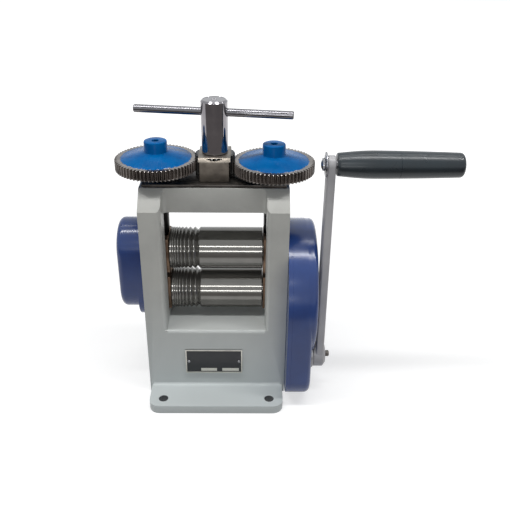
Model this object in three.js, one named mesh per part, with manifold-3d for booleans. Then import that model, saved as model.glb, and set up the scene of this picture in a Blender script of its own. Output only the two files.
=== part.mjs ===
// Jewellers' combination rolling mill, bench mounted and hand cranked.
// Millimetres. +X to the crank side, -Y to the operator, +Z up.
// Origin: middle of the base, on the bench face, straight below the roll axes.
import * as THREE from 'three';
import { mergeVertices } from 'three/addons/utils/BufferGeometryUtils.js';
import Module from 'manifold-3d';

const wasm = await Module();
wasm.setup();

// Clearances
const SEAT = 0.3;              // between a piece and the face it is seated on
const RUN = 0.25;              // radial, between a shaft and its bush
const SLIDE = 0.3;             // per side, between a chock and its slot

// Rolls
const ROLL_R = 25;
const ROLL_FACE = 110;         // length of the rolling face
const ROLL_GAP = 5.5;          // opening between the rolls at rest
const LOWER_Z = 121;           // height of the lower roll's axis
const UPPER_Z = LOWER_Z + 2 * ROLL_R + ROLL_GAP;
const GAP_LEAST = 0.4;         // opening with the rolls screwed down
const GAP_MOST = 7;            // opening with the rolls screwed up
const LIFT_LOW = GAP_LEAST - ROLL_GAP;
const LIFT_HIGH = GAP_MOST - ROLL_GAP;
const JOURNAL_R = 14;
const GROOVE_SIZES = [0.9, 1.2, 1.6, 2.0, 2.4, 2.9, 3.5, 4.3];  // square wire sizes, from the left end
const GROOVE_LAND = 0.9;       // flat left between two grooves
const GROOVE_START = 2.6;      // from the roll's left end to the first groove

// Frame casting
const WINDOW_HALF_X = ROLL_FACE / 2 + 5.4;
const PILLAR_T = 22.9;
const FRAME_HALF_X = WINDOW_HALF_X + PILLAR_T;
const FRAME_HALF_Y = 53;
const SILL_Z = 91.6;
const SILL_ROUND = 4;
const BEAM_HALF_Y = FRAME_HALF_Y - 20;
const BEAM_OVER = 61.5;        // from the upper roll's axis up to the beam
const BEAM_H = 29.4;
const BEAM_BOTTOM = UPPER_Z + BEAM_OVER;
const BEAM_TOP = BEAM_BOTTOM + BEAM_H;
const SHOULDER_DROP = 20.7;    // from the beam's top to where the pillars' fronts start to slope back
const SHOULDER_Z = BEAM_TOP - SHOULDER_DROP;
const RECESS_HALF_X = WINDOW_HALF_X + 10.6;   // the beam's recess, between the pillars
const RECESS_ROUND = 12;
const RECESS_DROP = 7;         // how far the recess runs down the pillars' inner edges
const FLANGE_HALF_X = FRAME_HALF_X - 2.7;
const FLANGE_HALF_Y = FRAME_HALF_Y + 40.2;
const FLANGE_T = 11;
const FLANGE_CORNER = 9;
const FLANGE_FILLET = 6;
const BENCH_HOLE_R = 5.4;
const BENCH_HOLE_X = FLANGE_HALF_X - 16.6;
const BENCH_HOLE_Y = FLANGE_HALF_Y - 14.2;
const BASE_WALL = 12;
const BASE_SIDE_WALL = 23;
const BASE_WEB = 12;           // middle web, under the sill

// Chocks, in slots through the pillars
const SLOT_HALF_Y = 25.5;
const CHOCK_HALF_H = 20;
const CHOCK_HALF_Y = SLOT_HALF_Y - SLIDE;
const CHOCK_INNER_X = WINDOW_HALF_X + 0.6;
const CHOCK_OUTER_X = FRAME_HALF_X - 6.3;
const CHOCK_BOSS_R = 17.5;     // boss that meets the roll's end
const CHOCK_BOSS_X = ROLL_FACE / 2 + 0.8;
const SPRING_Y = 19.5;
const SPRING_R = 3.1;
const SPRING_WIRE_R = 0.6;
const SPRING_TURNS = 4;
const SPRING_POCKET = 9;       // depth of the spring's seat in each chock

// Synchronising gears, on the rolls' left ends
const SYNC_TEETH = 13;
const SYNC_PITCH_R = 25.2;
const SYNC_OUT_R = 29.6;
const SYNC_ROOT_R = 20.4;
const SYNC_TOOTH = 0.4;        // share of the pitch that the tooth fills
const TIP_HALF = 0.3;          // least half width of any gear tooth's tip
const SYNC_T = 12;
const SYNC_X = -FRAME_HALF_X + 4.1;   // face towards the roll
const SYNC_POCKET = 5;         // depth of their recess in the pillar
const SYNC_BORE_R = 11;
const SYNC_NUT_R = 14;
const SYNC_NUT_T = 7;
const ROLL_THREAD_R = 8;
const SYNC_THREAD = 12;        // threaded length past the gear

// Left cover: a rim round the gears and a deeper cap set higher on it
const LEFT_RIM_R = 32.4;
const LEFT_RIM_T = 10.4;
const LEFT_WALL = 2;
const LEFT_CAP_R = 32.6;
const LEFT_CAP_LOW_Z = LOWER_Z + 11.3;
const LEFT_CAP_HIGH_Z = UPPER_Z + 4.8;
const LEFT_CAP_X = -FRAME_HALF_X - 32.2;
const LEFT_CAP_ROUND = 7;
const LEFT_CAP_WALL = 2.6;
const EAR_R = 6;               // fixing ears at the rim's rear
const EAR_T = 4;
const EAR_OUT = 5.5;           // from the rim's outline to the ear's hole
const EAR_LOW_Z = LOWER_Z + 6;
const EAR_HIGH_Z = UPPER_Z - 6;

// Drive train: crank pinion to the gear on the lower roll
const DRIVE_MODULE = 2;
const DRIVE_TEETH = 68;
const CRANK_TEETH = 14;
const DRIVE_T = 12;
const CASE_PLATE_T = 5;        // back plate of the gear case
const DRIVE_X = FRAME_HALF_X + SEAT + CASE_PLATE_T + 3.9;
const DRIVE_BORE_R = 12;
const DRIVE_NUT_R = 13;
const DRIVE_NUT_T = 4;
const CRANK_Y = -FRAME_HALF_Y + 13;
const CRANK_Z = LOWER_Z - Math.sqrt(((DRIVE_TEETH + CRANK_TEETH) * DRIVE_MODULE / 2) ** 2 - CRANK_Y ** 2);

// Gear case on the right
const CASE_TOP_R = 83;
const CASE_TOP_Z = LOWER_Z + 4;
const CASE_FOOT_R = 30;
const CASE_FOOT_Y = CRANK_Y - 13;
const CASE_FOOT_Z = 38.2;
const CASE_REAR_Y = 30;        // rear foot of the case, beside the frame
const CASE_OUTER_X = DRIVE_X + DRIVE_T + 8.5;
const CASE_DRUM_X = CASE_OUTER_X + 4.6;   // face of the deeper drum over the large gear
const CASE_DRUM_R = CASE_TOP_R - 0.5;
const CASE_DRUM_ROUND = 5;
const CASE_WALL = 3;
const CASE_ROUND = 7;
const CASE_BOSS_R = 17;
const CASE_BOSS_X = CASE_OUTER_X + 5;
const CASE_POST_R = 5;         // posts inside the cover that take its screws
const CASE_POST_IN = 7;        // from the case's outline to a post's middle
const CASE_SCREW_SINK = 3;
const CASE_PLATE_SCREW_Y = FRAME_HALF_Y - 13;
const CASE_PLATE_SCREW_Z = LOWER_Z + 29;

// Crank
const CRANK_SHAFT_R = 8;
const CRANK_TAIL_R = 6;
const CRANK_TAIL_X = FRAME_HALF_X - 17.3;
const BUSH_WALL = 3;
const CRANK_HUB_R = 15.4;
const CRANK_HUB_END_X = CASE_BOSS_X + 15;
const CRANK_HUB_CHAMFER = 3.2;
const ARM_X = CASE_BOSS_X + 3.4;
const ARM_T = 9;
const ARM_LENGTH = 249.4;
const ARM_WIDE = 27;           // width at the hub
const ARM_NARROW = 20;         // width at the grip
const CRANK_BOLT_R = 3.75;
const CRANK_BOLT_OUT = 5.5;
const CRANK_BOLT_IN = 14;

// Grip
const GRIP_LEFT_X = ARM_X + ARM_T + 1.6;
const GRIP_LENGTH = 138;
const GRIP_END_R = 12.5;
const GRIP_MOST_R = 15.2;
const GRIP_FAR_R = 13.4;
const GRIP_ROUND = 4;
const GRIP_AXLE_R = 5;
const GRIP_AXLE_IN = 120;      // how far the axle reaches into the grip
const GRIP_WASHER_R = 13.5;
const GRIP_WASHER_T = 1.3;
const GRIP_NUT_R = 7;
const GRIP_NUT_T = 3;
const GRIP_NUT_DOME = 1.5;

// Screw-down
const SCREW_X = WINDOW_HALF_X + 5.95;
const SCREW_R = 8;
const ADJUST_TEETH = 64;
const PINION_TEETH = 30;
const ADJUST_MODULE = 2 * SCREW_X / (ADJUST_TEETH + PINION_TEETH);
const ADJUST_ADDENDUM = 0.95;  // tooth height over the pitch circle, in modules
const ADJUST_PITCH_R = ADJUST_MODULE * ADJUST_TEETH / 2;
const ADJUST_OUT_R = ADJUST_PITCH_R + ADJUST_ADDENDUM * ADJUST_MODULE;
const PINION_OUT_R = ADJUST_MODULE * (PINION_TEETH / 2 + ADJUST_ADDENDUM);
const ADJUST_T = 12;
const PLATE_T = 3.3;           // top plate on the beam
const PLATE_TOP = BEAM_TOP + SEAT + PLATE_T;
const ADJUST_LEFT_UP = 20.4;   // from the top plate to the left gear's top, at this setting
const ADJUST_RIGHT_UP = 17.4;
const ADJUST_LEFT_TOP = PLATE_TOP + ADJUST_LEFT_UP;
const ADJUST_RIGHT_TOP = PLATE_TOP + ADJUST_RIGHT_UP;
const WEB_R = ADJUST_PITCH_R - 5.2;
const WEB_RISE = 6.7;
const BOSS_R = 13;
const BOSS_H = 13;
const BOSS_CHAMFER = 1.4;
const BOSS_SOCKET_R = 3.8;
const BOSS_SOCKET_DEPTH = 9;
const NUT_R = 12;
const NUT_FLANGE_R = 15.5;
const NUT_FLANGE_T = 3;
const PINION_UNDER = 1;        // under the pinion
const PINION_H = 23.4;
const PINION_BOTTOM = PLATE_TOP + PINION_UNDER;
const PINION_TOP = PINION_BOTTOM + PINION_H;

// Top plate and pinion block
const PLATE_HALF_X = FRAME_HALF_X - 3.3;
const PLATE_HALF_Y = BEAM_HALF_Y - 1;
const PLATE_SCREW_X = 22;
const PLATE_SCREW_Y = PLATE_HALF_Y - 4;
const BLOCK_HALF_X = SCREW_X - ADJUST_OUT_R - 2;
const BLOCK_HALF_Y = 24;
const BLOCK_ROOF = 2.1;        // of the block, over the pinion
const BLOCK_TOP = PINION_TOP + 2 * SEAT + BLOCK_ROOF;
const BLOCK_CHAMFER = 4;
const BLOCK_BORE_R = PINION_OUT_R + 0.5;
const BLOCK_SCREW_X = 14.6;
const BLOCK_SCREW_Y = 20.6;
const BLOCK_SCREW_UP = 10;     // how far the screws reach into the block

// T-handle
const HUB_R = 14.85;
const HUB_H = 59.9;
const HUB_TOP = BLOCK_TOP + HUB_H;
const HUB_NECK_R = 11.6;
const HUB_STEM_R = 8;
const HUB_CHAMFER = 1.3;
const BAR_R = 4;
const BAR_DROP = 14;           // from the hub's top to the bar's axis
const BAR_Z = HUB_TOP - BAR_DROP;
const BAR_LENGTH = 175;
const BAR_TURN = -8;           // degrees, right end towards the operator
const BAR_SHIFT = -0.5;

// Nameplate
const NAMEPLATE_LEFT = -37.9;
const NAMEPLATE_RIGHT = 31.2;
const NAMEPLATE_LOW = 30;
const NAMEPLATE_HIGH = 64.2;
const NAMEPLATE_T = 1;
const RIVET_R = 1.9;
const RIVET_INSET = 4;

// Cap screws, all of one size
const SCREW_HEAD_R = 3.6;
const SCREW_HEAD_H = 2.4;
const SHANK_R = 1.8;
const TAPPED = 8;              // depth that a cap screw reaches into what it holds

// Sides of the round pieces
const ROUND = 20;
const PLAIN = 16;
const SMALL = 8;
const SCREW_SIDES = 6;

// Turns a closed geometry into a solid, for cuts and joins.
function solid(geometry) {
  const bare = geometry.clone();
  for (const name of Object.keys(bare.attributes)) {
    if (name !== 'position') bare.deleteAttribute(name);
  }
  const merged = mergeVertices(bare, 1e-3);
  const mesh = new wasm.Mesh({
    numProp: 3,
    vertProperties: new Float32Array(merged.attributes.position.array),
    triVerts: new Uint32Array(merged.index.array),
  });
  return new wasm.Manifold(mesh);
}

// Turns a solid back into a geometry.
function geometryOf(manifold) {
  const mesh = manifold.getMesh();
  const geometry = new THREE.BufferGeometry();
  geometry.setAttribute('position', new THREE.BufferAttribute(new Float32Array(mesh.vertProperties), 3));
  geometry.setIndex(new THREE.BufferAttribute(new Uint32Array(mesh.triVerts), 1));
  return geometry;
}

function box(x0, x1, y0, y1, z0, z1) {
  const geometry = new THREE.BoxGeometry(x1 - x0, y1 - y0, z1 - z0);
  return geometry.translate((x0 + x1) / 2, (y0 + y1) / 2, (z0 + z1) / 2);
}

// A closed outline pushed along Z, from z0 to z1.
function prismZ(shape, z0, z1, segments = 8) {
  const geometry = new THREE.ExtrudeGeometry(shape, {
    depth: z1 - z0, bevelEnabled: false, curveSegments: segments,
  });
  return geometry.translate(0, 0, z0);
}

// An outline drawn in Y and Z, pushed along X from x0 to x1.
function prismX(shape, x0, x1, segments = 8) {
  const geometry = prismZ(shape, x0, x1, segments);
  const swap = new THREE.Matrix4().makeBasis(
    new THREE.Vector3(0, 1, 0), new THREE.Vector3(0, 0, 1), new THREE.Vector3(1, 0, 0));
  return geometry.applyMatrix4(swap);
}

// A revolved piece about Z. The profile is [radius, height], and starts and ends on the axis or closes.
function latheZ(profile, segments = ROUND) {
  const points = profile.map(([r, h]) => new THREE.Vector2(r, h));
  return new THREE.LatheGeometry(points, segments).rotateX(Math.PI / 2);
}

// A revolved piece about X through (y, z). The profile is [radius, x].
function latheX(profile, y, z, segments = ROUND) {
  const points = profile.map(([r, x]) => new THREE.Vector2(r, x));
  return new THREE.LatheGeometry(points, segments).rotateZ(-Math.PI / 2).translate(0, y, z);
}

function rodX(r, x0, x1, y, z, segments = PLAIN) {
  return latheX([[0, x0], [r, x0], [r, x1], [0, x1]], y, z, segments);
}

function rodZ(r, z0, z1, x, y, segments = PLAIN) {
  return latheZ([[0, z0], [r, z0], [r, z1], [0, z1]], segments).translate(x, y, 0);
}

function polygon(points) {
  return new THREE.Shape(points.map(([x, y]) => new THREE.Vector2(x, y)));
}

// The outline round a chain of circles [y, z, r], given anticlockwise: arcs joined by their tangents.
function hullShape(circles) {
  const shape = new THREE.Shape();
  const count = circles.length;
  const leave = circles.map(([y, z, r], i) => {
    const [yn, zn, rn] = circles[(i + 1) % count];
    const along = Math.atan2(zn - z, yn - y);
    const lean = Math.asin((r - rn) / Math.hypot(yn - y, zn - z));
    return along - Math.PI / 2 + lean;
  });
  circles.forEach(([y, z, r], i) => {
    const from = leave[(i + count - 1) % count];
    let to = leave[i];
    while (to < from) to += 2 * Math.PI;
    shape.absarc(y, z, r, from, to, false);
  });
  return shape;
}

// A stadium outline between two heights, on the roll's centre line.
function stadium(zLow, zHigh, r) {
  return hullShape([[0, zLow, r], [0, zHigh, r]]);
}

// A spur gear's outline. toothShare is the part of the pitch that a tooth fills at the pitch circle.
function gearShape({ teeth, pitchR, outR, rootR, toothShare, turn = 0, flank = 1 }) {
  const pitch = 2 * Math.PI / teeth;
  const baseR = pitchR * Math.cos(THREE.MathUtils.degToRad(20));
  const involute = (r) => (r <= baseR ? 0 : Math.sqrt((r / baseR) ** 2 - 1) - Math.acos(baseR / r));
  const halfAt = (r) => Math.max(toothShare * pitch / 2 + involute(pitchR) - involute(r), TIP_HALF / r);
  const radii = [];
  for (let i = 0; i <= flank; i += 1) radii.push(rootR + (outR - rootR) * i / flank);
  const points = [];
  for (let tooth = 0; tooth < teeth; tooth += 1) {
    const middle = turn + tooth * pitch;
    for (const r of radii) points.push([r, middle - halfAt(r)]);
    for (const r of [...radii].reverse()) points.push([r, middle + halfAt(r)]);
  }
  return polygon(points.map(([r, a]) => [r * Math.cos(a), r * Math.sin(a)]));
}

const mill = new THREE.Group();

function add(name, shapeOrSolid, colour, roughness, metalness) {
  const geometry = shapeOrSolid.isBufferGeometry ? shapeOrSolid : geometryOf(shapeOrSolid);
  const material = new THREE.MeshStandardMaterial({ color: colour, roughness, metalness });
  const mesh = new THREE.Mesh(geometry, material);
  mesh.name = name;
  mill.add(mesh);
  return mesh;
}

const PAINT = [0x96988f, 0.5, 0.1];
const NAVY = [0x1e2f86, 0.2, 0.1];
const STEEL = [0x8a8c90, 0.25, 0.9];
const DARK_STEEL = [0x4c4a48, 0.45, 0.8];
const BRONZE = [0xa67844, 0.4, 0.8];
const BLUE = [0x0a6fc0, 0.4, 0.1];
const CHROME = [0xc8c8cc, 0.1, 1.0];
const BLACK = [0x1c2022, 0.5, 0.0];
const GREY = [0x86868a, 0.45, 0.3];

const HOLE_R = SHANK_R + SEAT;
const EAR_Y = LEFT_RIM_R + EAR_OUT;
const coverEars = [['lower', EAR_LOW_Z], ['upper', EAR_HIGH_Z]];

// A cap screw along +Z, its head's seat at z = 0 and its shank below.
function capScrew(length) {
  return latheZ([
    [0, -length],
    [SHANK_R, -length],
    [SHANK_R, 0],
    [SCREW_HEAD_R, 0],
    [SCREW_HEAD_R, SCREW_HEAD_H],
    [0, SCREW_HEAD_H],
  ], SCREW_SIDES);
}

// Frame: one iron casting with its foot flanges
function frameCasting() {
  let body = solid(box(-FRAME_HALF_X, FRAME_HALF_X, -FRAME_HALF_Y, FRAME_HALF_Y, 0, BEAM_TOP));

  const foot = new THREE.Shape();
  const innerX = FLANGE_HALF_X - FLANGE_CORNER;
  const innerY = FLANGE_HALF_Y - FLANGE_CORNER;
  foot.absarc(innerX, innerY, FLANGE_CORNER, 0, Math.PI / 2, false);
  foot.absarc(-innerX, innerY, FLANGE_CORNER, Math.PI / 2, Math.PI, false);
  foot.absarc(-innerX, -innerY, FLANGE_CORNER, Math.PI, 1.5 * Math.PI, false);
  foot.absarc(innerX, -innerY, FLANGE_CORNER, 1.5 * Math.PI, 2 * Math.PI, false);
  body = body.add(solid(prismZ(foot, 0, FLANGE_T, 5)));

  // Fillet between the flange and the walls above it
  for (const side of [-1, 1]) {
    const fillet = new THREE.Shape();
    fillet.moveTo(side * (FRAME_HALF_Y - 1), FLANGE_T - 1);
    fillet.lineTo(side * (FRAME_HALF_Y + FLANGE_FILLET), FLANGE_T - 1);
    fillet.lineTo(side * (FRAME_HALF_Y + FLANGE_FILLET), FLANGE_T);
    fillet.absarc(side * (FRAME_HALF_Y + FLANGE_FILLET), FLANGE_T + FLANGE_FILLET, FLANGE_FILLET,
      1.5 * Math.PI, side > 0 ? Math.PI : 2 * Math.PI, side > 0);
    fillet.lineTo(side * (FRAME_HALF_Y - 1), FLANGE_T + FLANGE_FILLET);
    body = body.add(solid(prismX(fillet, -FLANGE_HALF_X, FLANGE_HALF_X, 4)));
  }

  // Window between the pillars, with rounded sill edges
  const window = new THREE.Shape();
  const lip = FRAME_HALF_Y - SILL_ROUND;
  const over = FRAME_HALF_Y + 5;
  window.moveTo(-over, SILL_Z - SILL_ROUND);
  window.lineTo(-FRAME_HALF_Y, SILL_Z - SILL_ROUND);
  window.absarc(-lip, SILL_Z - SILL_ROUND, SILL_ROUND, Math.PI, Math.PI / 2, true);
  window.absarc(lip, SILL_Z - SILL_ROUND, SILL_ROUND, Math.PI / 2, 0, true);
  window.lineTo(over, SILL_Z - SILL_ROUND);
  window.lineTo(over, BEAM_BOTTOM);
  window.lineTo(-over, BEAM_BOTTOM);
  body = body.subtract(solid(prismX(window, -WINDOW_HALF_X, WINDOW_HALF_X, 4)));

  for (const side of [-1, 1]) {
    // Pillar shoulders slope back to the beam's face
    const shoulder = polygon([
      [side * (FRAME_HALF_Y + 1), SHOULDER_Z - 1],
      [side * (BEAM_HALF_Y - 1), BEAM_TOP + 1],
      [side * (FRAME_HALF_Y + 1), BEAM_TOP + 1],
    ]);
    body = body.subtract(solid(prismX(shoulder, -FRAME_HALF_X - 1, FRAME_HALF_X + 1)));

    // Recess of the beam's face, blended into the pillars
    const recess = new THREE.Shape();
    const inner = RECESS_HALF_X - RECESS_ROUND;
    const deep = side * BEAM_HALF_Y;
    const centreY = deep + side * RECESS_ROUND;
    const front = side * (FRAME_HALF_Y + 1);
    recess.moveTo(-RECESS_HALF_X, front);
    recess.lineTo(-RECESS_HALF_X, centreY);
    recess.absarc(-inner, centreY, RECESS_ROUND, Math.PI, side < 0 ? Math.PI / 2 : 1.5 * Math.PI, side < 0);
    recess.absarc(inner, centreY, RECESS_ROUND, side < 0 ? Math.PI / 2 : 1.5 * Math.PI,
      side < 0 ? 0 : 2 * Math.PI, side < 0);
    recess.lineTo(RECESS_HALF_X, front);
    const above = polygon([
      [front, BEAM_BOTTOM - RECESS_DROP],
      [side * (BEAM_HALF_Y - 1), BEAM_BOTTOM + RECESS_DROP],
      [side * (BEAM_HALF_Y - 1), BEAM_TOP + 1],
      [front, BEAM_TOP + 1],
    ]);
    const reach = solid(prismX(above, -FRAME_HALF_X, FRAME_HALF_X));
    const tool = solid(prismZ(recess, BEAM_BOTTOM - RECESS_DROP - 1, BEAM_TOP + 1, 5));
    body = body.subtract(tool.intersect(reach));
    body = body.subtract(solid(box(-WINDOW_HALF_X, WINDOW_HALF_X,
      Math.min(deep, front), Math.max(deep, front), BEAM_BOTTOM - 1, BEAM_BOTTOM + 2 * RECESS_DROP)));
  }

  // Slots for the chocks, and the recess of the synchronising gears
  const slotBottom = LOWER_Z - CHOCK_HALF_H - SEAT;
  for (const side of [-1, 1]) {
    const near = side * (WINDOW_HALF_X - 1);
    const far = side * (FRAME_HALF_X + 1);
    body = body.subtract(solid(box(Math.min(near, far), Math.max(near, far),
      -SLOT_HALF_Y, SLOT_HALF_Y, slotBottom, BEAM_BOTTOM)));
    body = body.subtract(solid(rodZ(NUT_R + SEAT, BEAM_BOTTOM - 1, BEAM_TOP + 1, side * SCREW_X, 0)));
    body = body.subtract(solid(rodZ(NUT_FLANGE_R + SEAT, BEAM_TOP - NUT_FLANGE_T - SEAT, BEAM_TOP + 1,
      side * SCREW_X, 0)));
  }
  const pocket = stadium(LOWER_Z, UPPER_Z + LIFT_HIGH, LEFT_RIM_R - LEFT_WALL);
  body = body.subtract(solid(prismX(pocket, -FRAME_HALF_X - 1, -FRAME_HALF_X + SYNC_POCKET, 9)));

  // Underside pockets, either side of the middle web
  for (const side of [-1, 1]) {
    const near = side * BASE_WEB / 2;
    const far = side * (FRAME_HALF_X - BASE_SIDE_WALL);
    body = body.subtract(solid(box(Math.min(near, far), Math.max(near, far),
      -FRAME_HALF_Y + BASE_WALL, FRAME_HALF_Y - BASE_WALL, -1, SILL_Z - BASE_WALL)));
  }

  for (const x of [-BENCH_HOLE_X, BENCH_HOLE_X]) {
    for (const y of [-BENCH_HOLE_Y, BENCH_HOLE_Y]) {
      body = body.subtract(solid(rodZ(BENCH_HOLE_R, -1, FLANGE_T + 1, x, y)));
    }
  }

  // Seat of the crank shaft's inner bush
  body = body.subtract(solid(rodX(CRANK_TAIL_R + BUSH_WALL + SEAT, CRANK_TAIL_X - 1, FRAME_HALF_X + 1,
    CRANK_Y, CRANK_Z)));

  // Holes under the screws of the top plate
  for (const x of [-PLATE_SCREW_X, PLATE_SCREW_X]) {
    body = body.subtract(solid(rodZ(HOLE_R, BEAM_TOP - TAPPED - 1, BEAM_TOP + 1, x, PLATE_SCREW_Y, SMALL)));
  }

  // Through holes for the pinion block's screws, sunk in the beam's underside
  for (const side of [-1, 1]) {
    const x = side * BLOCK_SCREW_X;
    const y = side * BLOCK_SCREW_Y;
    body = body.subtract(solid(rodZ(HOLE_R, BEAM_BOTTOM - 1, BEAM_TOP + 1, x, y, SMALL)));
    body = body.subtract(solid(rodZ(SCREW_HEAD_R + SEAT, BEAM_BOTTOM - 1, BEAM_BOTTOM + SCREW_HEAD_H + SEAT,
      x, y, SMALL)));
  }

  // Tapped holes in the pillars for the gear case and the left cover
  for (const side of [-1, 1]) {
    body = body.subtract(solid(rodX(HOLE_R, FRAME_HALF_X - TAPPED, FRAME_HALF_X + 1,
      side * CASE_PLATE_SCREW_Y, CASE_PLATE_SCREW_Z, SMALL)));
  }
  for (const [, z] of coverEars) {
    body = body.subtract(solid(rodX(HOLE_R, -FRAME_HALF_X - 1, -FRAME_HALF_X + TAPPED, EAR_Y, z, SMALL)));
  }
  return body;
}
add('frame', frameCasting(), ...PAINT);

// Roll: face with V-grooves for square wire at its left end, journals, gear seats and threaded ends
function roll(z, driven) {
  const left = -ROLL_FACE / 2;
  const right = ROLL_FACE / 2;
  const threadEnd = SYNC_X - SYNC_T - SYNC_THREAD;
  const profile = [
    [0, threadEnd],
    [ROLL_THREAD_R, threadEnd],
    [ROLL_THREAD_R, SYNC_X - SYNC_T + SEAT],
    [SYNC_BORE_R, SYNC_X - SYNC_T + SEAT],
    [SYNC_BORE_R, SYNC_X + SEAT],
    [JOURNAL_R, SYNC_X + SEAT],
    [JOURNAL_R, left],
    [ROLL_R - 0.6, left],
    [ROLL_R, left + 0.6],
  ];
  let x = left + GROOVE_START;
  for (const size of GROOVE_SIZES) {
    const halfMouth = size / Math.SQRT2;
    profile.push([ROLL_R, x], [ROLL_R - halfMouth, x + halfMouth], [ROLL_R, x + 2 * halfMouth]);
    x += 2 * halfMouth + GROOVE_LAND;
  }
  profile.push([ROLL_R, right - 0.6], [ROLL_R - 0.6, right]);
  if (driven) {
    const nutEnd = DRIVE_X + DRIVE_T + DRIVE_NUT_T + SEAT;
    profile.push(
      [JOURNAL_R, right],
      [JOURNAL_R, DRIVE_X - SEAT],
      [DRIVE_BORE_R, DRIVE_X - SEAT],
      [DRIVE_BORE_R, DRIVE_X + DRIVE_T - SEAT],
      [ROLL_THREAD_R, DRIVE_X + DRIVE_T - SEAT],
      [ROLL_THREAD_R, nutEnd],
      [0, nutEnd],
    );
  } else {
    profile.push([JOURNAL_R, right], [JOURNAL_R, CHOCK_OUTER_X], [0, CHOCK_OUTER_X]);
  }
  return latheX(profile, 0, z);
}
add('lower_roll', roll(LOWER_Z, true), ...STEEL);
add('upper_roll', roll(UPPER_Z, false), ...STEEL);

// Chocks: bronze blocks with the journal's bore, a boss towards the roll and the springs' seats
function chock(side, z, upper) {
  const near = side * CHOCK_INNER_X;
  const far = side * CHOCK_OUTER_X;
  const boss = side * CHOCK_BOSS_X;
  const inside = side * (CHOCK_INNER_X + 2);
  let block = solid(box(Math.min(near, far), Math.max(near, far),
    -CHOCK_HALF_Y, CHOCK_HALF_Y, z - CHOCK_HALF_H, z + CHOCK_HALF_H));
  block = block.add(solid(rodX(CHOCK_BOSS_R, Math.min(boss, inside), Math.max(boss, inside), 0, z, ROUND)));
  block = block.subtract(solid(rodX(JOURNAL_R + RUN, -FRAME_HALF_X, FRAME_HALF_X, 0, z, ROUND)));
  const mouth = upper ? z - CHOCK_HALF_H : z + CHOCK_HALF_H;
  const inward = upper ? SPRING_POCKET : -SPRING_POCKET;
  for (const y of [-SPRING_Y, SPRING_Y]) {
    const seat = rodZ(SPRING_R + SPRING_WIRE_R + SEAT, Math.min(mouth - Math.sign(inward), mouth + inward),
      Math.max(mouth - Math.sign(inward), mouth + inward), side * SCREW_X, y, SMALL);
    block = block.subtract(solid(seat));
  }
  return block;
}
for (const [name, side] of [['left', -1], ['right', 1]]) {
  add(`${name}_lower_chock`, chock(side, LOWER_Z, false), ...BRONZE);
  add(`${name}_upper_chock`, chock(side, UPPER_Z, true), ...BRONZE);
}

// Return springs: a helix between the chocks, in their seats
const SPRING_LOW_Z = LOWER_Z + CHOCK_HALF_H - SPRING_POCKET + SPRING_WIRE_R + SEAT;
const SPRING_HIGH_Z = UPPER_Z - CHOCK_HALF_H + SPRING_POCKET - SPRING_WIRE_R - SEAT;
function spring(x, y) {
  const stepsPerTurn = 8;
  const sides = 4;
  const steps = SPRING_TURNS * stepsPerTurn;
  const rise = SPRING_HIGH_Z - SPRING_LOW_Z;
  const slope = Math.atan2(rise, SPRING_TURNS * 2 * Math.PI * SPRING_R);
  const positions = [];
  const index = [];
  for (let i = 0; i <= steps; i += 1) {
    const turn = 2 * Math.PI * i / stepsPerTurn;
    const centreZ = SPRING_LOW_Z + rise * i / steps;
    for (let j = 0; j < sides; j += 1) {
      const around = 2 * Math.PI * j / sides;
      const out = SPRING_R + SPRING_WIRE_R * Math.cos(around);
      const lean = SPRING_WIRE_R * Math.sin(around) * Math.sin(slope);
      positions.push(
        x + out * Math.cos(turn) + lean * Math.sin(turn),
        y + out * Math.sin(turn) - lean * Math.cos(turn),
        centreZ + SPRING_WIRE_R * Math.sin(around) * Math.cos(slope),
      );
    }
  }
  for (let i = 0; i < steps; i += 1) {
    for (let j = 0; j < sides; j += 1) {
      const a = i * sides + j;
      const b = i * sides + (j + 1) % sides;
      index.push(a, a + sides, b, b, a + sides, b + sides);
    }
  }
  for (let j = 1; j < sides - 1; j += 1) {
    const last = steps * sides;
    index.push(0, j, j + 1, last, last + j + 1, last + j);
  }
  const geometry = new THREE.BufferGeometry();
  geometry.setAttribute('position', new THREE.Float32BufferAttribute(positions, 3));
  geometry.setIndex(index);
  return geometry;
}
const coilPitch = (SPRING_HIGH_Z - SPRING_LOW_Z) / SPRING_TURNS;
console.log(`spring: least gap between turns ${(coilPitch - 2 * SPRING_WIRE_R).toFixed(2)} mm`);
for (const [name, side] of [['left', -1], ['right', 1]]) {
  add(`${name}_front_spring`, spring(side * SCREW_X, -SPRING_Y), ...STEEL);
  add(`${name}_rear_spring`, spring(side * SCREW_X, SPRING_Y), ...STEEL);
}

// Synchronising gears and their nuts
function syncGear(z, turn) {
  const shape = gearShape({
    teeth: SYNC_TEETH, pitchR: SYNC_PITCH_R, outR: SYNC_OUT_R, rootR: SYNC_ROOT_R,
    toothShare: SYNC_TOOTH, turn, flank: 2,
  });
  const blank = solid(prismX(shape, SYNC_X - SYNC_T, SYNC_X));
  const bore = solid(rodX(SYNC_BORE_R + SEAT, SYNC_X - SYNC_T - 1, SYNC_X + 1, 0, 0));
  return geometryOf(blank.subtract(bore)).translate(0, 0, z);
}
const syncPitch = 2 * Math.PI / SYNC_TEETH;
add('lower_sync_gear', syncGear(LOWER_Z, Math.PI / 2), ...DARK_STEEL);
add('upper_sync_gear', syncGear(UPPER_Z, -Math.PI / 2 + syncPitch / 2), ...DARK_STEEL);

function hexNut(r, boreR, x0, x1, y, z) {
  const nut = solid(rodX(r, x0, x1, y, z, 6));
  return nut.subtract(solid(rodX(boreR + SEAT, x0 - 1, x1 + 1, y, z)));
}
const syncNutX = SYNC_X - SYNC_T - SEAT;
for (const [name, z] of [['lower', LOWER_Z], ['upper', UPPER_Z]]) {
  const nut = hexNut(SYNC_NUT_R, ROLL_THREAD_R, syncNutX - SYNC_NUT_T, syncNutX, 0, z);
  add(`${name}_sync_nut`, nut, ...DARK_STEEL);
}

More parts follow.
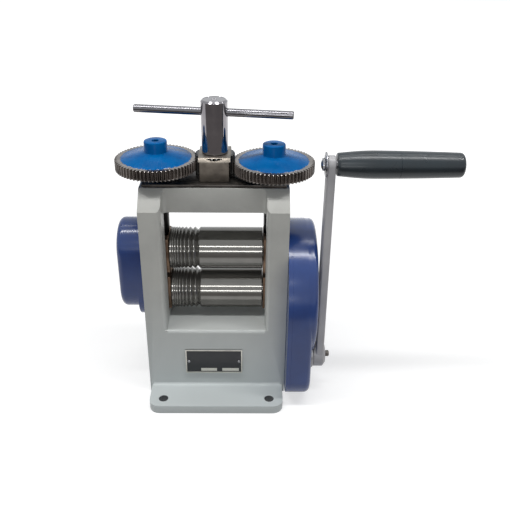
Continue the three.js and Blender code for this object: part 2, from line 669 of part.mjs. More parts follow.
// Rounds the outer rim of a prism along X with a few stepped slices.
function roundedPrismX(outline, xInner, xOuter, round) {
  const way = Math.sign(xOuter - xInner);
  const flatEnd = xOuter - way * round;
  const slices = 2;
  const rings = [[0, xInner], [0, flatEnd]];
  for (let i = 1; i <= slices; i += 1) {
    const angle = Math.PI / 2 * i / slices;
    rings.push([round * (1 - Math.cos(angle)), flatEnd + way * round * Math.sin(angle)]);
  }
  return loft(rings.map(([inset, x]) => ({ points: outline(inset), x })), way);
}

// Joins rings of points, each at its own X, into one closed skin.
function loft(rings, way) {
  const count = rings[0].points.length;
  const positions = [];
  const index = [];
  for (const { points, x } of rings) {
    for (const { x: y, y: z } of points) positions.push(x, y, z);
  }
  const face = (a, b, c) => (way > 0 ? index.push(a, b, c) : index.push(a, c, b));
  for (let i = 0; i < rings.length - 1; i += 1) {
    for (let j = 0; j < count; j += 1) {
      const a = i * count + j;
      const b = i * count + (j + 1) % count;
      face(a, b, a + count);
      face(b, b + count, a + count);
    }
  }
  const last = (rings.length - 1) * count;
  for (const [p, q, r] of THREE.ShapeUtils.triangulateShape(rings[0].points, [])) {
    face(p, r, q);
    face(last + p, last + q, last + r);
  }
  const geometry = new THREE.BufferGeometry();
  geometry.setAttribute('position', new THREE.Float32BufferAttribute(positions, 3));
  geometry.setIndex(index);
  return geometry;
}

function outlineOf(circles, segments) {
  return (inset) => {
    const shape = hullShape(circles.map(([y, z, r]) => [y, z, r - inset]));
    const points = shape.getPoints(segments);
    if (points[0].distanceTo(points[points.length - 1]) < 1e-6) points.pop();
    return points;
  };
}

// Left cover
function leftCover() {
  const capCircles = [[0, LEFT_CAP_LOW_Z, LEFT_CAP_R], [0, LEFT_CAP_HIGH_Z, LEFT_CAP_R]];
  const mouthX = -FRAME_HALF_X - SEAT;
  const rimX = mouthX - LEFT_RIM_T;
  const rimHigh = UPPER_Z + LIFT_HIGH;
  const cap = solid(roundedPrismX(outlineOf(capCircles, 8), mouthX, LEFT_CAP_X, LEFT_CAP_ROUND));
  const rim = solid(prismX(stadium(LOWER_Z, rimHigh, LEFT_RIM_R), rimX, mouthX, 9));
  const rimHollow = solid(prismX(stadium(LOWER_Z, rimHigh, LEFT_RIM_R - LEFT_WALL),
    rimX + LEFT_WALL, mouthX + 1, 9));
  const capInner = capCircles.map(([y, z, r]) => [y, z, r - LEFT_CAP_WALL]);
  const capHollow = solid(roundedPrismX(outlineOf(capInner, 8), mouthX + 1,
    LEFT_CAP_X + LEFT_CAP_WALL, LEFT_CAP_ROUND - LEFT_CAP_WALL));
  let cover = cap.add(rim);
  for (const [, z] of coverEars) {
    const ear = hullShape([[EAR_Y - EAR_OUT - EAR_R, z, EAR_R], [EAR_Y, z, EAR_R]]);
    cover = cover.add(solid(prismX(ear, mouthX - EAR_T, mouthX, 4)));
    cover = cover.subtract(solid(rodX(HOLE_R, mouthX - EAR_T - 1, mouthX + 1, EAR_Y, z, SMALL)));
  }
  return cover.subtract(rimHollow).subtract(capHollow);
}
add('left_cover', leftCover(), ...NAVY);
for (const [name, z] of coverEars) {
  const screw = capScrew(EAR_T + TAPPED - 1).rotateY(-Math.PI / 2);
  add(`left_cover_${name}_screw`, screw.translate(-FRAME_HALF_X - 2 * SEAT - EAR_T, EAR_Y, z),
    ...DARK_STEEL);
}

// Right gear case: a back plate on the frame and a deep cover, with a drum over the large gear
const caseCircles = [
  [CASE_FOOT_Y, CASE_FOOT_Z, CASE_FOOT_R],
  [CASE_REAR_Y, CASE_FOOT_Z + 14, CASE_FOOT_R],
  [0, CASE_TOP_Z, CASE_TOP_R],
];
const plateOuterX = FRAME_HALF_X + SEAT + CASE_PLATE_T;
const casePosts = [
  ['top', 0, CASE_TOP_Z + CASE_TOP_R - CASE_POST_IN, CASE_DRUM_X],
  ['front', -CASE_TOP_R + CASE_POST_IN, CASE_TOP_Z, CASE_DRUM_X],
  ['rear', CASE_TOP_R - CASE_POST_IN, CASE_TOP_Z, CASE_DRUM_X],
  ['foot', CASE_FOOT_Y, CASE_FOOT_Z - CASE_FOOT_R + CASE_POST_IN + 2, CASE_OUTER_X],
];
function casePlate() {
  const outline = outlineOf(caseCircles, 6);
  const rings = [{ points: outline(0), x: FRAME_HALF_X + SEAT }, { points: outline(0), x: plateOuterX }];
  let plate = solid(loft(rings, 1));
  plate = plate.subtract(solid(rodX(JOURNAL_R + 1, FRAME_HALF_X - 1, plateOuterX + 1, 0, LOWER_Z)));
  for (const [, y, z] of casePosts) {
    plate = plate.subtract(solid(rodX(HOLE_R, FRAME_HALF_X - 1, plateOuterX + 1, y, z, SMALL)));
  }
  for (const side of [-1, 1]) {
    plate = plate.subtract(solid(rodX(HOLE_R, FRAME_HALF_X - 1, plateOuterX + 1,
      side * CASE_PLATE_SCREW_Y, CASE_PLATE_SCREW_Z, SMALL)));
  }
  return plate.subtract(solid(rodX(CRANK_TAIL_R + 1.5, FRAME_HALF_X - 1, plateOuterX + 1,
    CRANK_Y, CRANK_Z)));
}
add('gear_case_plate', casePlate(), ...NAVY);
for (const [name, side] of [['front', -1], ['rear', 1]]) {
  const screw = capScrew(CASE_PLATE_T + TAPPED - 1).rotateY(Math.PI / 2);
  screw.translate(plateOuterX + SEAT, side * CASE_PLATE_SCREW_Y, CASE_PLATE_SCREW_Z);
  add(`case_plate_${name}_screw`, screw, ...DARK_STEEL);
}

const DRUM_SIDES = 24;
const drumStart = CASE_OUTER_X - CASE_ROUND - 1;
function caseDrum() {
  const profile = [[0, drumStart], [CASE_DRUM_R, drumStart]];
  for (const share of [0, 0.5, 1]) {
    const angle = share * Math.PI / 2;
    profile.push([
      CASE_DRUM_R - CASE_DRUM_ROUND * (1 - Math.cos(angle)),
      CASE_DRUM_X - CASE_DRUM_ROUND * (1 - Math.sin(angle)),
    ]);
  }
  profile.push([0, CASE_DRUM_X]);
  return solid(latheX(profile, 0, CASE_TOP_Z, DRUM_SIDES));
}

function rightCover() {
  const mouthX = plateOuterX + SEAT;
  const inner = caseCircles.map(([y, z, r]) => [y, z, r - CASE_WALL]);
  let cover = solid(roundedPrismX(outlineOf(caseCircles, 6), mouthX, CASE_OUTER_X, CASE_ROUND));
  cover = cover.add(caseDrum());
  cover = cover.subtract(solid(roundedPrismX(outlineOf(inner, 6), mouthX - 1,
    CASE_OUTER_X - CASE_WALL, CASE_ROUND - CASE_WALL)));
  cover = cover.subtract(solid(rodX(CASE_DRUM_R - CASE_WALL, drumStart - 1, CASE_DRUM_X - CASE_WALL,
    0, CASE_TOP_Z, DRUM_SIDES)));
  for (const [, y, z, faceX] of casePosts) {
    const headSeat = faceX - CASE_SCREW_SINK;
    cover = cover.add(solid(rodX(CASE_POST_R, mouthX, headSeat, y, z, SMALL)));
    cover = cover.subtract(solid(rodX(HOLE_R, mouthX - 1, headSeat + 1, y, z, SMALL)));
    cover = cover.subtract(solid(rodX(SCREW_HEAD_R + SEAT, headSeat, faceX + 1, y, z, SMALL)));
  }
  const bossStart = CASE_OUTER_X - CASE_WALL - 3;
  cover = cover.add(solid(rodX(CASE_BOSS_R, bossStart, CASE_BOSS_X, CRANK_Y, CRANK_Z, ROUND)));
  return cover.subtract(solid(rodX(CRANK_SHAFT_R + BUSH_WALL + SEAT, bossStart - 1, CASE_BOSS_X + 1,
    CRANK_Y, CRANK_Z)));
}
add('right_cover', rightCover(), ...NAVY);
for (const [name, y, z, faceX] of casePosts) {
  const seat = faceX - CASE_SCREW_SINK + SEAT;
  const screw = capScrew(seat - FRAME_HALF_X - 2 * SEAT).rotateY(Math.PI / 2);
  add(`case_${name}_screw`, screw.translate(seat, y, z), ...DARK_STEEL);
}

// Drive gear on the lower roll, pinion on the crank shaft
function spurOnX({ teeth, module, x0, x1, y, z, boreR, turn, share, flank }) {
  const pitchR = teeth * module / 2;
  const shape = gearShape({
    teeth, pitchR, outR: pitchR + 0.92 * module, rootR: pitchR - 1.2 * module,
    toothShare: share, turn, flank,
  });
  const blank = solid(prismX(shape, x0, x1));
  const bore = solid(rodX(boreR, x0 - 1, x1 + 1, 0, 0));
  return geometryOf(blank.subtract(bore)).translate(0, y, z);
}
const meshAngle = Math.atan2(CRANK_Z - LOWER_Z, CRANK_Y);
add('drive_gear', spurOnX({
  teeth: DRIVE_TEETH, module: DRIVE_MODULE, x0: DRIVE_X, x1: DRIVE_X + DRIVE_T, y: 0, z: LOWER_Z,
  boreR: DRIVE_BORE_R + SEAT, turn: meshAngle, share: 0.46, flank: 1,
}), ...DARK_STEEL);
add('crank_pinion', spurOnX({
  teeth: CRANK_TEETH, module: DRIVE_MODULE, x0: DRIVE_X - 1, x1: DRIVE_X + DRIVE_T + 1,
  y: CRANK_Y, z: CRANK_Z, boreR: CRANK_SHAFT_R + SEAT,
  turn: meshAngle + Math.PI + Math.PI / CRANK_TEETH, share: 0.44, flank: 2,
}), ...DARK_STEEL);
const driveNutX = DRIVE_X + DRIVE_T + SEAT;
add('drive_gear_nut', hexNut(DRIVE_NUT_R, ROLL_THREAD_R, driveNutX, driveNutX + DRIVE_NUT_T, 0, LOWER_Z),
  ...DARK_STEEL);

// Crank shaft, its bushes, the arm and its bolt
function crankShaft() {
  const shoulder = plateOuterX + SEAT;
  const boltSeat = CRANK_HUB_END_X - CRANK_BOLT_IN;
  return latheX([
    [0, CRANK_TAIL_X],
    [CRANK_TAIL_R, CRANK_TAIL_X],
    [CRANK_TAIL_R, shoulder],
    [CRANK_SHAFT_R, shoulder + 1.5],
    [CRANK_SHAFT_R, CRANK_HUB_END_X],
    [CRANK_BOLT_R + SEAT, CRANK_HUB_END_X],
    [CRANK_BOLT_R + SEAT, boltSeat],
    [0, boltSeat],
  ], CRANK_Y, CRANK_Z, PLAIN);
}
add('crank_shaft', crankShaft(), ...STEEL);

function bushX(boreR, x0, x1) {
  const shell = solid(rodX(boreR + BUSH_WALL, x0, x1, CRANK_Y, CRANK_Z));
  return shell.subtract(solid(rodX(boreR + RUN, x0 - 1, x1 + 1, CRANK_Y, CRANK_Z)));
}
add('crank_inner_bush', bushX(CRANK_TAIL_R, CRANK_TAIL_X - 0.6, FRAME_HALF_X), ...BRONZE);
add('crank_outer_bush', bushX(CRANK_SHAFT_R, CASE_OUTER_X - CASE_WALL - 2.6, CASE_BOSS_X), ...BRONZE);

const GRIP_Z = CRANK_Z + ARM_LENGTH;
function crankArm() {
  const bar = hullShape([
    [CRANK_Y, CRANK_Z, ARM_WIDE / 2],
    [CRANK_Y, GRIP_Z, ARM_NARROW / 2],
  ]);
  let arm = solid(prismX(bar, ARM_X, ARM_X + ARM_T, 6));
  arm = arm.add(solid(latheX([
    [0, CASE_BOSS_X + SEAT],
    [CRANK_HUB_R, CASE_BOSS_X + SEAT],
    [CRANK_HUB_R, CRANK_HUB_END_X - CRANK_HUB_CHAMFER],
    [CRANK_HUB_R - 1.4 * CRANK_HUB_CHAMFER, CRANK_HUB_END_X],
    [0, CRANK_HUB_END_X],
  ], CRANK_Y, CRANK_Z, ROUND)));
  arm = arm.subtract(solid(rodX(CRANK_SHAFT_R + SEAT, CASE_BOSS_X - 1, CRANK_HUB_END_X + 1,
    CRANK_Y, CRANK_Z)));
  return arm.subtract(solid(rodX(GRIP_AXLE_R + SEAT, ARM_X - 1, ARM_X + ARM_T + 1, CRANK_Y, GRIP_Z)));
}
add('crank_arm', crankArm(), ...GREY);

add('crank_bolt', latheX([
  [0, CRANK_HUB_END_X - CRANK_BOLT_IN + SEAT],
  [CRANK_BOLT_R, CRANK_HUB_END_X - CRANK_BOLT_IN + SEAT],
  [CRANK_BOLT_R, CRANK_HUB_END_X + CRANK_BOLT_OUT - 0.8],
  [CRANK_BOLT_R - 0.8, CRANK_HUB_END_X + CRANK_BOLT_OUT],
  [0, CRANK_HUB_END_X + CRANK_BOLT_OUT],
], CRANK_Y, CRANK_Z, SMALL), ...DARK_STEEL);

// Grip axle with its shoulder against the arm, washer and nut on the inner side
const gripAxleEnd = GRIP_LEFT_X + GRIP_AXLE_IN;
const washerX = ARM_X - SEAT - GRIP_WASHER_T;
add('grip_axle', latheX([
  [0, washerX - GRIP_NUT_T],
  [GRIP_AXLE_R, washerX - GRIP_NUT_T],
  [GRIP_AXLE_R, gripAxleEnd - 1],
  [GRIP_AXLE_R - 1, gripAxleEnd],
  [0, gripAxleEnd],
], CRANK_Y, GRIP_Z, PLAIN), ...STEEL);
function ringX(r, boreR, x0, x1, y, z, segments) {
  return solid(rodX(r, x0, x1, y, z, segments)).subtract(solid(rodX(boreR, x0 - 1, x1 + 1, y, z)));
}
add('grip_washer', ringX(GRIP_WASHER_R, GRIP_AXLE_R + SEAT, washerX, washerX + GRIP_WASHER_T,
  CRANK_Y, GRIP_Z, PLAIN), ...STEEL);
function gripNut() {
  const outer = washerX - SEAT;
  const dome = latheX([
    [0, outer - GRIP_NUT_T - GRIP_NUT_DOME],
    [GRIP_NUT_R * 0.7, outer - GRIP_NUT_T - GRIP_NUT_DOME * 0.7],
    [GRIP_NUT_R, outer - GRIP_NUT_T],
    [GRIP_NUT_R, outer],
    [0, outer],
  ], CRANK_Y, GRIP_Z, SMALL);
  return solid(dome).subtract(solid(rodX(GRIP_AXLE_R + SEAT, outer - GRIP_NUT_T - SEAT, outer + 1,
    CRANK_Y, GRIP_Z)));
}
add('grip_nut', gripNut(), ...STEEL);

function grip() {
  const steps = 6;
  const swellAt = 0.3;
  const radiusAt = (t) => {
    const rise = Math.sin(Math.min(t / swellAt, 1) * Math.PI / 2);
    const fall = Math.max(0, (t - swellAt) / (1 - swellAt));
    return GRIP_END_R + (GRIP_MOST_R - GRIP_END_R) * rise - (GRIP_MOST_R - GRIP_FAR_R) * fall ** 1.6;
  };
  const profile = [[GRIP_AXLE_R + RUN, GRIP_LEFT_X], [GRIP_END_R - 0.8, GRIP_LEFT_X]];
  const barrel = GRIP_LENGTH - GRIP_ROUND;
  for (let i = 0; i <= steps; i += 1) {
    const t = i / steps;
    profile.push([radiusAt(t), GRIP_LEFT_X + 0.8 + (barrel - 0.8) * t]);
  }
  for (let i = 1; i <= 3; i += 1) {
    const angle = Math.PI / 2 * i / 3;
    profile.push([GRIP_FAR_R - GRIP_ROUND * (1 - Math.cos(angle)),
      GRIP_LEFT_X + barrel + GRIP_ROUND * Math.sin(angle)]);
  }
  profile.push([0, GRIP_LEFT_X + GRIP_LENGTH]);
  profile.push([0, gripAxleEnd + 1], [GRIP_AXLE_R + RUN, gripAxleEnd + 1]);
  profile.push([GRIP_AXLE_R + RUN, GRIP_LEFT_X]);
  return latheX(profile, CRANK_Y, GRIP_Z, PLAIN);
}
add('handle_grip', grip(), ...BLACK);

// Top plate, its screws and the pinion block
function topPlate() {
  let plate = solid(box(-PLATE_HALF_X, PLATE_HALF_X, -PLATE_HALF_Y, PLATE_HALF_Y,
    BEAM_TOP + SEAT, PLATE_TOP));
  for (const x of [-SCREW_X, SCREW_X]) {
    plate = plate.subtract(solid(rodZ(SCREW_R + 0.8, BEAM_TOP - 1, PLATE_TOP + 1, x, 0)));
  }
  plate = plate.subtract(solid(rodZ(HUB_STEM_R + RUN, BEAM_TOP - 1, PLATE_TOP + 1, 0, 0)));
  for (const x of [-PLATE_SCREW_X, PLATE_SCREW_X]) {
    plate = plate.subtract(solid(rodZ(HOLE_R, BEAM_TOP - 1, PLATE_TOP + 1, x, PLATE_SCREW_Y, SMALL)));
  }
  for (const side of [-1, 1]) {
    plate = plate.subtract(solid(rodZ(HOLE_R, BEAM_TOP - 1, PLATE_TOP + 1,
      side * BLOCK_SCREW_X, side * BLOCK_SCREW_Y, SMALL)));
  }
  return plate;
}
add('top_plate', topPlate(), ...DARK_STEEL);

for (const [name, x] of [['left', -PLATE_SCREW_X], ['right', PLATE_SCREW_X]]) {
  const screw = capScrew(PLATE_T + TAPPED).translate(x, PLATE_SCREW_Y, PLATE_TOP + SEAT);
  add(`${name}_top_plate_screw`, screw, ...DARK_STEEL);
}

function pinionBlock() {
  const bottom = PLATE_TOP + SEAT;
  const low = BLOCK_TOP - BLOCK_CHAMFER;
  const side = polygon([
    [-BLOCK_HALF_Y, bottom],
    [BLOCK_HALF_Y, bottom],
    [BLOCK_HALF_Y, low],
    [BLOCK_HALF_Y - BLOCK_CHAMFER, BLOCK_TOP],
    [-BLOCK_HALF_Y + BLOCK_CHAMFER, BLOCK_TOP],
    [-BLOCK_HALF_Y, low],
  ]);
  let block = solid(prismX(side, -BLOCK_HALF_X, BLOCK_HALF_X));
  block = block.subtract(solid(rodZ(BLOCK_BORE_R, bottom - 1, BLOCK_TOP - BLOCK_ROOF, 0, 0, 32)));
  for (const way of [-1, 1]) {
    block = block.subtract(solid(rodZ(HOLE_R, bottom - 1, bottom + BLOCK_SCREW_UP,
      way * BLOCK_SCREW_X, way * BLOCK_SCREW_Y, SMALL)));
  }
  return block.subtract(solid(rodZ(HUB_NECK_R + RUN, bottom, BLOCK_TOP + 1, 0, 0)));
}
add('pinion_block', pinionBlock(), 0x6a675c, 0.35, 0.8);
for (const [name, side] of [['left', -1], ['right', 1]]) {
  const seat = BEAM_BOTTOM + SCREW_HEAD_H;
  const screw = capScrew(PLATE_TOP + SEAT + BLOCK_SCREW_UP - 1 - seat).rotateX(Math.PI);
  add(`${name}_block_screw`, screw.translate(side * BLOCK_SCREW_X, side * BLOCK_SCREW_Y, seat),
    ...DARK_STEEL);
}

// Adjusting pinion, and the handle's hub that turns it
function adjustShape(teeth, share, turn, flank) {
  const pitchR = teeth * ADJUST_MODULE / 2;
  return gearShape({
    teeth, pitchR, outR: pitchR + ADJUST_ADDENDUM * ADJUST_MODULE, rootR: pitchR - 1.2 * ADJUST_MODULE,
    toothShare: share, turn, flank,
  });
}
function adjustingPinion() {
  const blank = solid(prismZ(adjustShape(PINION_TEETH, 0.45, 0, 1), PINION_BOTTOM, PINION_TOP));
  return blank.subtract(solid(rodZ(HUB_STEM_R + SEAT, PINION_BOTTOM - 1, PINION_TOP + 1, 0, 0)));
}
add('adjusting_pinion', adjustingPinion(), ...DARK_STEEL);

function handleHub() {
  const base = BLOCK_TOP + SEAT;
  const hub = solid(latheZ([
    [0, BEAM_TOP + SEAT],
    [HUB_STEM_R, BEAM_TOP + SEAT],
    [HUB_STEM_R, PINION_TOP + SEAT],
    [HUB_NECK_R, PINION_TOP + SEAT],
    [HUB_NECK_R, base],
    [HUB_R, base],
    [HUB_R, HUB_TOP - HUB_CHAMFER],
    [HUB_R - HUB_CHAMFER, HUB_TOP],
    [2.2, HUB_TOP],
    [0, HUB_TOP - 2.2],
  ]));
  const hole = rodX(BAR_R + RUN, -HUB_R - 2, HUB_R + 2, 0, BAR_Z);
  hole.rotateZ(THREE.MathUtils.degToRad(BAR_TURN));
  return hub.subtract(solid(hole));
}
add('handle_hub', handleHub(), ...CHROME);

function tommyBar() {
  const low = BAR_SHIFT - BAR_LENGTH / 2;
  const high = BAR_SHIFT + BAR_LENGTH / 2;
  const tip = 1.2;
  const bar = latheX([
    [0, low],
    [BAR_R - tip, low],
    [BAR_R, low + tip],
    [BAR_R, high - tip],
    [BAR_R - tip, high],
    [0, high],
  ], 0, BAR_Z, PLAIN);
  return bar.rotateZ(THREE.MathUtils.degToRad(BAR_TURN));
}
add('tommy_bar', tommyBar(), ...CHROME);

// Screw-down gears, each with its coned web and boss, on a lead screw through a bronze nut
function adjustingGear(x, top, turn) {
  const bottom = top - ADJUST_T;
  const bossTop = top + WEB_RISE + BOSS_H;
  let gear = solid(prismZ(adjustShape(ADJUST_TEETH, 0.45, turn, 1), bottom, top));
  const cone = latheZ([
    [0, top - 1],
    [WEB_R, top - 1],
    [WEB_R, top],
    [BOSS_R, top + WEB_RISE],
    [BOSS_R, bossTop - BOSS_CHAMFER],
    [BOSS_R - BOSS_CHAMFER, bossTop],
    [BOSS_SOCKET_R, bossTop],
    [BOSS_SOCKET_R, bossTop - BOSS_SOCKET_DEPTH],
    [0, bossTop - BOSS_SOCKET_DEPTH],
  ], ROUND);
  gear = gear.add(solid(cone));
  const bore = rodZ(SCREW_R + SEAT, bottom - 1, bossTop - BOSS_SOCKET_DEPTH - 3, 0, 0);
  return geometryOf(gear.subtract(solid(bore))).translate(x, 0, 0);
}
function leadScrew(x, top) {
  const foot = UPPER_Z + CHOCK_HALF_H + SEAT;
  const head = top + WEB_RISE + BOSS_H - BOSS_SOCKET_DEPTH - 3 - SEAT;
  return latheZ([
    [0, foot],
    [SCREW_R - 2, foot],
    [SCREW_R, foot + 2],
    [SCREW_R, head],
    [0, head],
  ], PLAIN).translate(x, 0, 0);
}
function leadNut(x) {
  const nut = solid(latheZ([
    [0, BEAM_BOTTOM],
    [NUT_R, BEAM_BOTTOM],
    [NUT_R, BEAM_TOP - NUT_FLANGE_T],
    [NUT_FLANGE_R, BEAM_TOP - NUT_FLANGE_T],
    [NUT_FLANGE_R, BEAM_TOP],
    [0, BEAM_TOP],
  ], PLAIN));
  return geometryOf(nut.subtract(solid(rodZ(SCREW_R + RUN, BEAM_BOTTOM - 1, BEAM_TOP + 1, 0, 0))))
    .translate(x, 0, 0);
}
const adjustPitch = 2 * Math.PI / ADJUST_TEETH;
const adjusters = [
  ['left', -SCREW_X, ADJUST_LEFT_TOP, adjustPitch / 2],
  ['right', SCREW_X, ADJUST_RIGHT_TOP, Math.PI + adjustPitch / 2],
];
for (const [name, x, top, turn] of adjusters) {
  add(`${name}_adjusting_gear`, adjustingGear(x, top, turn), ...BLUE);
  add(`${name}_lead_screw`, leadScrew(x, top), ...DARK_STEEL);
  add(`${name}_lead_nut`, leadNut(x), ...BRONZE);
}

// Nameplate, left bare, with its two rivets
const plateFaceY = -FRAME_HALF_Y - 0.2 - NAMEPLATE_T;
const rivetZ = (NAMEPLATE_LOW + NAMEPLATE_HIGH) / 2;
const rivetXs = [['left', NAMEPLATE_LEFT + RIVET_INSET], ['right', NAMEPLATE_RIGHT - RIVET_INSET]];
function nameplate() {
  let plate = solid(box(NAMEPLATE_LEFT, NAMEPLATE_RIGHT, plateFaceY, plateFaceY + NAMEPLATE_T,
    NAMEPLATE_LOW, NAMEPLATE_HIGH));
  for (const [, x] of rivetXs) {
    const hole = rodZ(RIVET_R * 0.6, -3, 3, 0, 0, SMALL).rotateX(Math.PI / 2);
    plate = plate.subtract(solid(hole.translate(x, plateFaceY, rivetZ)));
  }
  return plate;
}
add('nameplate', nameplate(), 0x1c1e20, 0.4, 0.4);
for (const [name, x] of rivetXs) {
  const rivet = latheZ([
    [0, -NAMEPLATE_T],
    [RIVET_R * 0.45, -NAMEPLATE_T],
    [RIVET_R * 0.45, 0.1],
    [RIVET_R, 0.1],
    [RIVET_R * 0.7, 0.8],
    [0, 1.0],
  ], SMALL);
  add(`${name}_nameplate_rivet`, rivet.rotateX(Math.PI / 2).translate(x, plateFaceY, rivetZ), ...STEEL);
}

export default mill;
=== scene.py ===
"""Jewellers' rolling mill: surfaces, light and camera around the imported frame.

Shapes are written in millimetres and scaled to metres when their mesh is made.
+X is the crank side, -Y the operator, +Z up.
"""
import math

import bmesh
import bpy
from mathutils import Matrix, Vector


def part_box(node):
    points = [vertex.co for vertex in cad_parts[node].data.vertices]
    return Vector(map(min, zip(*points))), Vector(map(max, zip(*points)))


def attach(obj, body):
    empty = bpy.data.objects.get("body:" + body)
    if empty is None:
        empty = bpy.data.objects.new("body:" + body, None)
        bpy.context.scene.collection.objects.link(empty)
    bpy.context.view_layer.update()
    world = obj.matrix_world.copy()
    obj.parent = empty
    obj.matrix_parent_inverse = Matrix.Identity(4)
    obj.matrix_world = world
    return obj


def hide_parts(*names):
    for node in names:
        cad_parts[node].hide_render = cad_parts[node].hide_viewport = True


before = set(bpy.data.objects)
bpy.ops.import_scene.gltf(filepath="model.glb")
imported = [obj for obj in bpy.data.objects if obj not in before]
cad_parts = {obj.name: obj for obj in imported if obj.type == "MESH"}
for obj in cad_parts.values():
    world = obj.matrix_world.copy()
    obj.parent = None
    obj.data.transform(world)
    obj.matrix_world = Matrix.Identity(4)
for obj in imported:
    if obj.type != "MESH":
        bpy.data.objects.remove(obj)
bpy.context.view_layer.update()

MM = 0.001
FINE = 96                # sides of the large round pieces
MIDDLE = 48
COARSE = 24
RUN = 0.25               # between a turning piece and its bore

# Camera, fitted to the photograph, in metres
IMAGE_SIDE = 510
CAMERA_AT = (0.03746, -0.67617, 0.537965)
CAMERA_YAW = math.radians(0.552)
CAMERA_DOWN = math.radians(26.702)
CAMERA_ROLL = math.radians(0.530)
FOCAL_PX = 633.8
CENTRE_PX = (253.43, 231.72)


def corners(node):
    """Lowest and highest corner of a node of the frame, in millimetres."""
    low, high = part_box(node)
    return low / MM, high / MM


def middle(node):
    low, high = corners(node)
    return (low + high) / 2


# Sizes read from the frame
frame_high = corners("frame")[1]
roll_low, roll_high = corners("lower_roll")
LOWER_Z = middle("lower_roll").z
UPPER_Z = middle("upper_roll").z
ROLL_R = (roll_high.z - roll_low.z) / 2
hub_low, hub_high = corners("handle_hub")
HUB_R = (hub_high.x - hub_low.x) / 2
grip_low, grip_high = corners("handle_grip")
axle_low, axle_high = corners("grip_axle")
GRIP_Z = middle("grip_axle").z
CRANK_Y = middle("grip_axle").y
shaft_low, shaft_high = corners("crank_shaft")
CRANK_Z = middle("crank_shaft").z
CRANK_AT = (CRANK_Y, CRANK_Z)
GRIP_AT = (CRANK_Y, GRIP_Z)
plate_low, plate_high = corners("top_plate")
BEAM_TOP = frame_high.z

# Rolls
ROLL_FACE = 110
GROOVE_SIZES = [0.9, 1.2, 1.6, 2.0, 2.4, 2.9, 3.5, 4.3]
GROOVE_LAND = 0.9
GROOVE_START = 2.6
GROOVE_ROUND = 0.25
JOURNAL_R = 14

# Frame casting
WINDOW_HALF_X = 58.4
WINDOW_REAR_X = 62.6     # behind the chocks the window is wider
WINDOW_EDGE_X = 4.6      # rounding of the window's upright edges
WINDOW_EDGE_Y = 7
WALL_Y = 53
SILL_Z = 91.6
SILL_ROUND = 4
BEAM_HALF_Y = 33
BEAM_BOTTOM = BEAM_TOP - 29.4
SHOULDER_Z = BEAM_TOP - 20.7
RECESS_ROUND = 6
FLANGE_HALF_X = 80.6
FLANGE_T = 11
FLANGE_CORNER = 13
FLANGE_FILLET = 3.5
EDGE_ROUND = 1.7
POCKET_X = (6, 60.3)     # of the two hollows under the base
POCKET_HALF_Y = 41
POCKET_TOP = 79.6
SLOT_HALF_Y = 25.5
CHOCK_INNER_X = 61
CHOCK_MORE = 4.8         # how much nearer to each other the chocks of a side come
CHEEK_X = 55.8           # of the chocks' cheeks, which meet the rolls' ends
CHEEK_HALF_Y = 19
SPRING_Y = 19.5
SPRING_TURNS = 8
SPRING_WIRE_R = 0.6
SPRING_SEAT = 9          # depth of a spring's seat
SPRING_SEAT_R = 4
SPRING_ROOM = 5.4        # over the springs, which keep their length when the upper chocks come down
BENCH_HOLE_X = 64
BENCH_HOLE_Y = 79
BENCH_HOLE_R = 5.4

# Covers
COVER_MOUTH_X = -83.6
RIM_R = 32.4
RIM_T = 10.4
RIM_WALL = 2
RIM_TOP = UPPER_Z + 1.5  # of the upper circle's centre
CAP_R = 32.6
CAP_WALL = 2.6
CAP_ROUND = 7
EAR_R = 6
EAR_T = 4
EAR_Y = 37.9
EAR_HEIGHTS = (127, 170.5)
CASE_DRUM_AT = (0, 125)
CASE_CIRCLES = [(-53, 38.2, 30), (30, 52.2, 30), (*CASE_DRUM_AT, 83)]
CASE_PLATE_X = 83.6
CASE_MOUTH_X = 88.6
CASE_OUTER_X = 113
CASE_WALL = 3
CASE_ROUND = 7
CASE_DRUM_X = 117.6
CASE_DRUM_R = 82.5
CASE_DRUM_ROUND = 5
CASE_BOSS_R = 17
CASE_BOSS_X = 118
CASE_BOSS_FOOT = 6       # how deep the boss's ring stands in the cover

# Cap screws
SHANK_R = 1.8
HOLE_R = 2.1
HEAD_R = 3.6
HEAD_T = 2.4
SOCKET_R = 1.75
SINK_R = 3.9
SINK_DEPTH = 2.7

# Crank and grip
ARM_SET = 3.1            # from the hub's inner end to the arm
ARM_T = 9
ARM_WIDE_R = 13.5
ARM_NARROW_R = 10
EYE_R = 5.3
GRIP_SHORTER = 2.6       # than the frame's plainer grip
GRIP_RADII = (12.5, 15.2, 13.4)     # at the arm, at the swell and at the far end
GRIP_SWELL_AT = 0.3
GRIP_JOINT_AT = 0.515
GRIP_ROUND = 4.0

# Screw-down
SCREW_X = 66.35
SCREW_R = 8
COLLAR_R = 10.5          # plain foot of each lead screw
COLLAR_TOP = 235
ADJUST_TEETH = 64
PINION_TEETH = 30
ADJUST_MODULE = 2 * SCREW_X / (ADJUST_TEETH + PINION_TEETH)
WEB_R = 40
WEB_RISE = 6.7
BOSS_R = 13
PRESSURE_ANGLE = math.radians(20)
TOOTH_SHARE = 0.45       # of the pitch, at the pitch circle
TOOTH_OUT = 0.95         # in modules, from the pitch circle
TOOTH_IN = 1.2
TOOTH_CHAMFER = 0.45
PINION_CHAMFER = 0.6
NUT_R = SCREW_R + 4
NUT_RIM = 3.5            # width of the nut's rim
NUT_RIM_T = 3
THREAD_PITCH = 2.5
THREAD_DEPTH = 1.1
BLOCK_CHAMFER = 4
BLOCK_LIP = 1.6
BLOCK_BORE_R = 23
BLOCK_ROOF = 0.8         # of the block, over the pinion

# T-handle
STEM_R = 8
NECK_R = 11.6
BAR_R = 4.5
BAR_ROUND = 1.4
BAR_LENGTH = 177.8
BAR_SHIFT = -1.7
BAR_TURN = math.radians(-8)

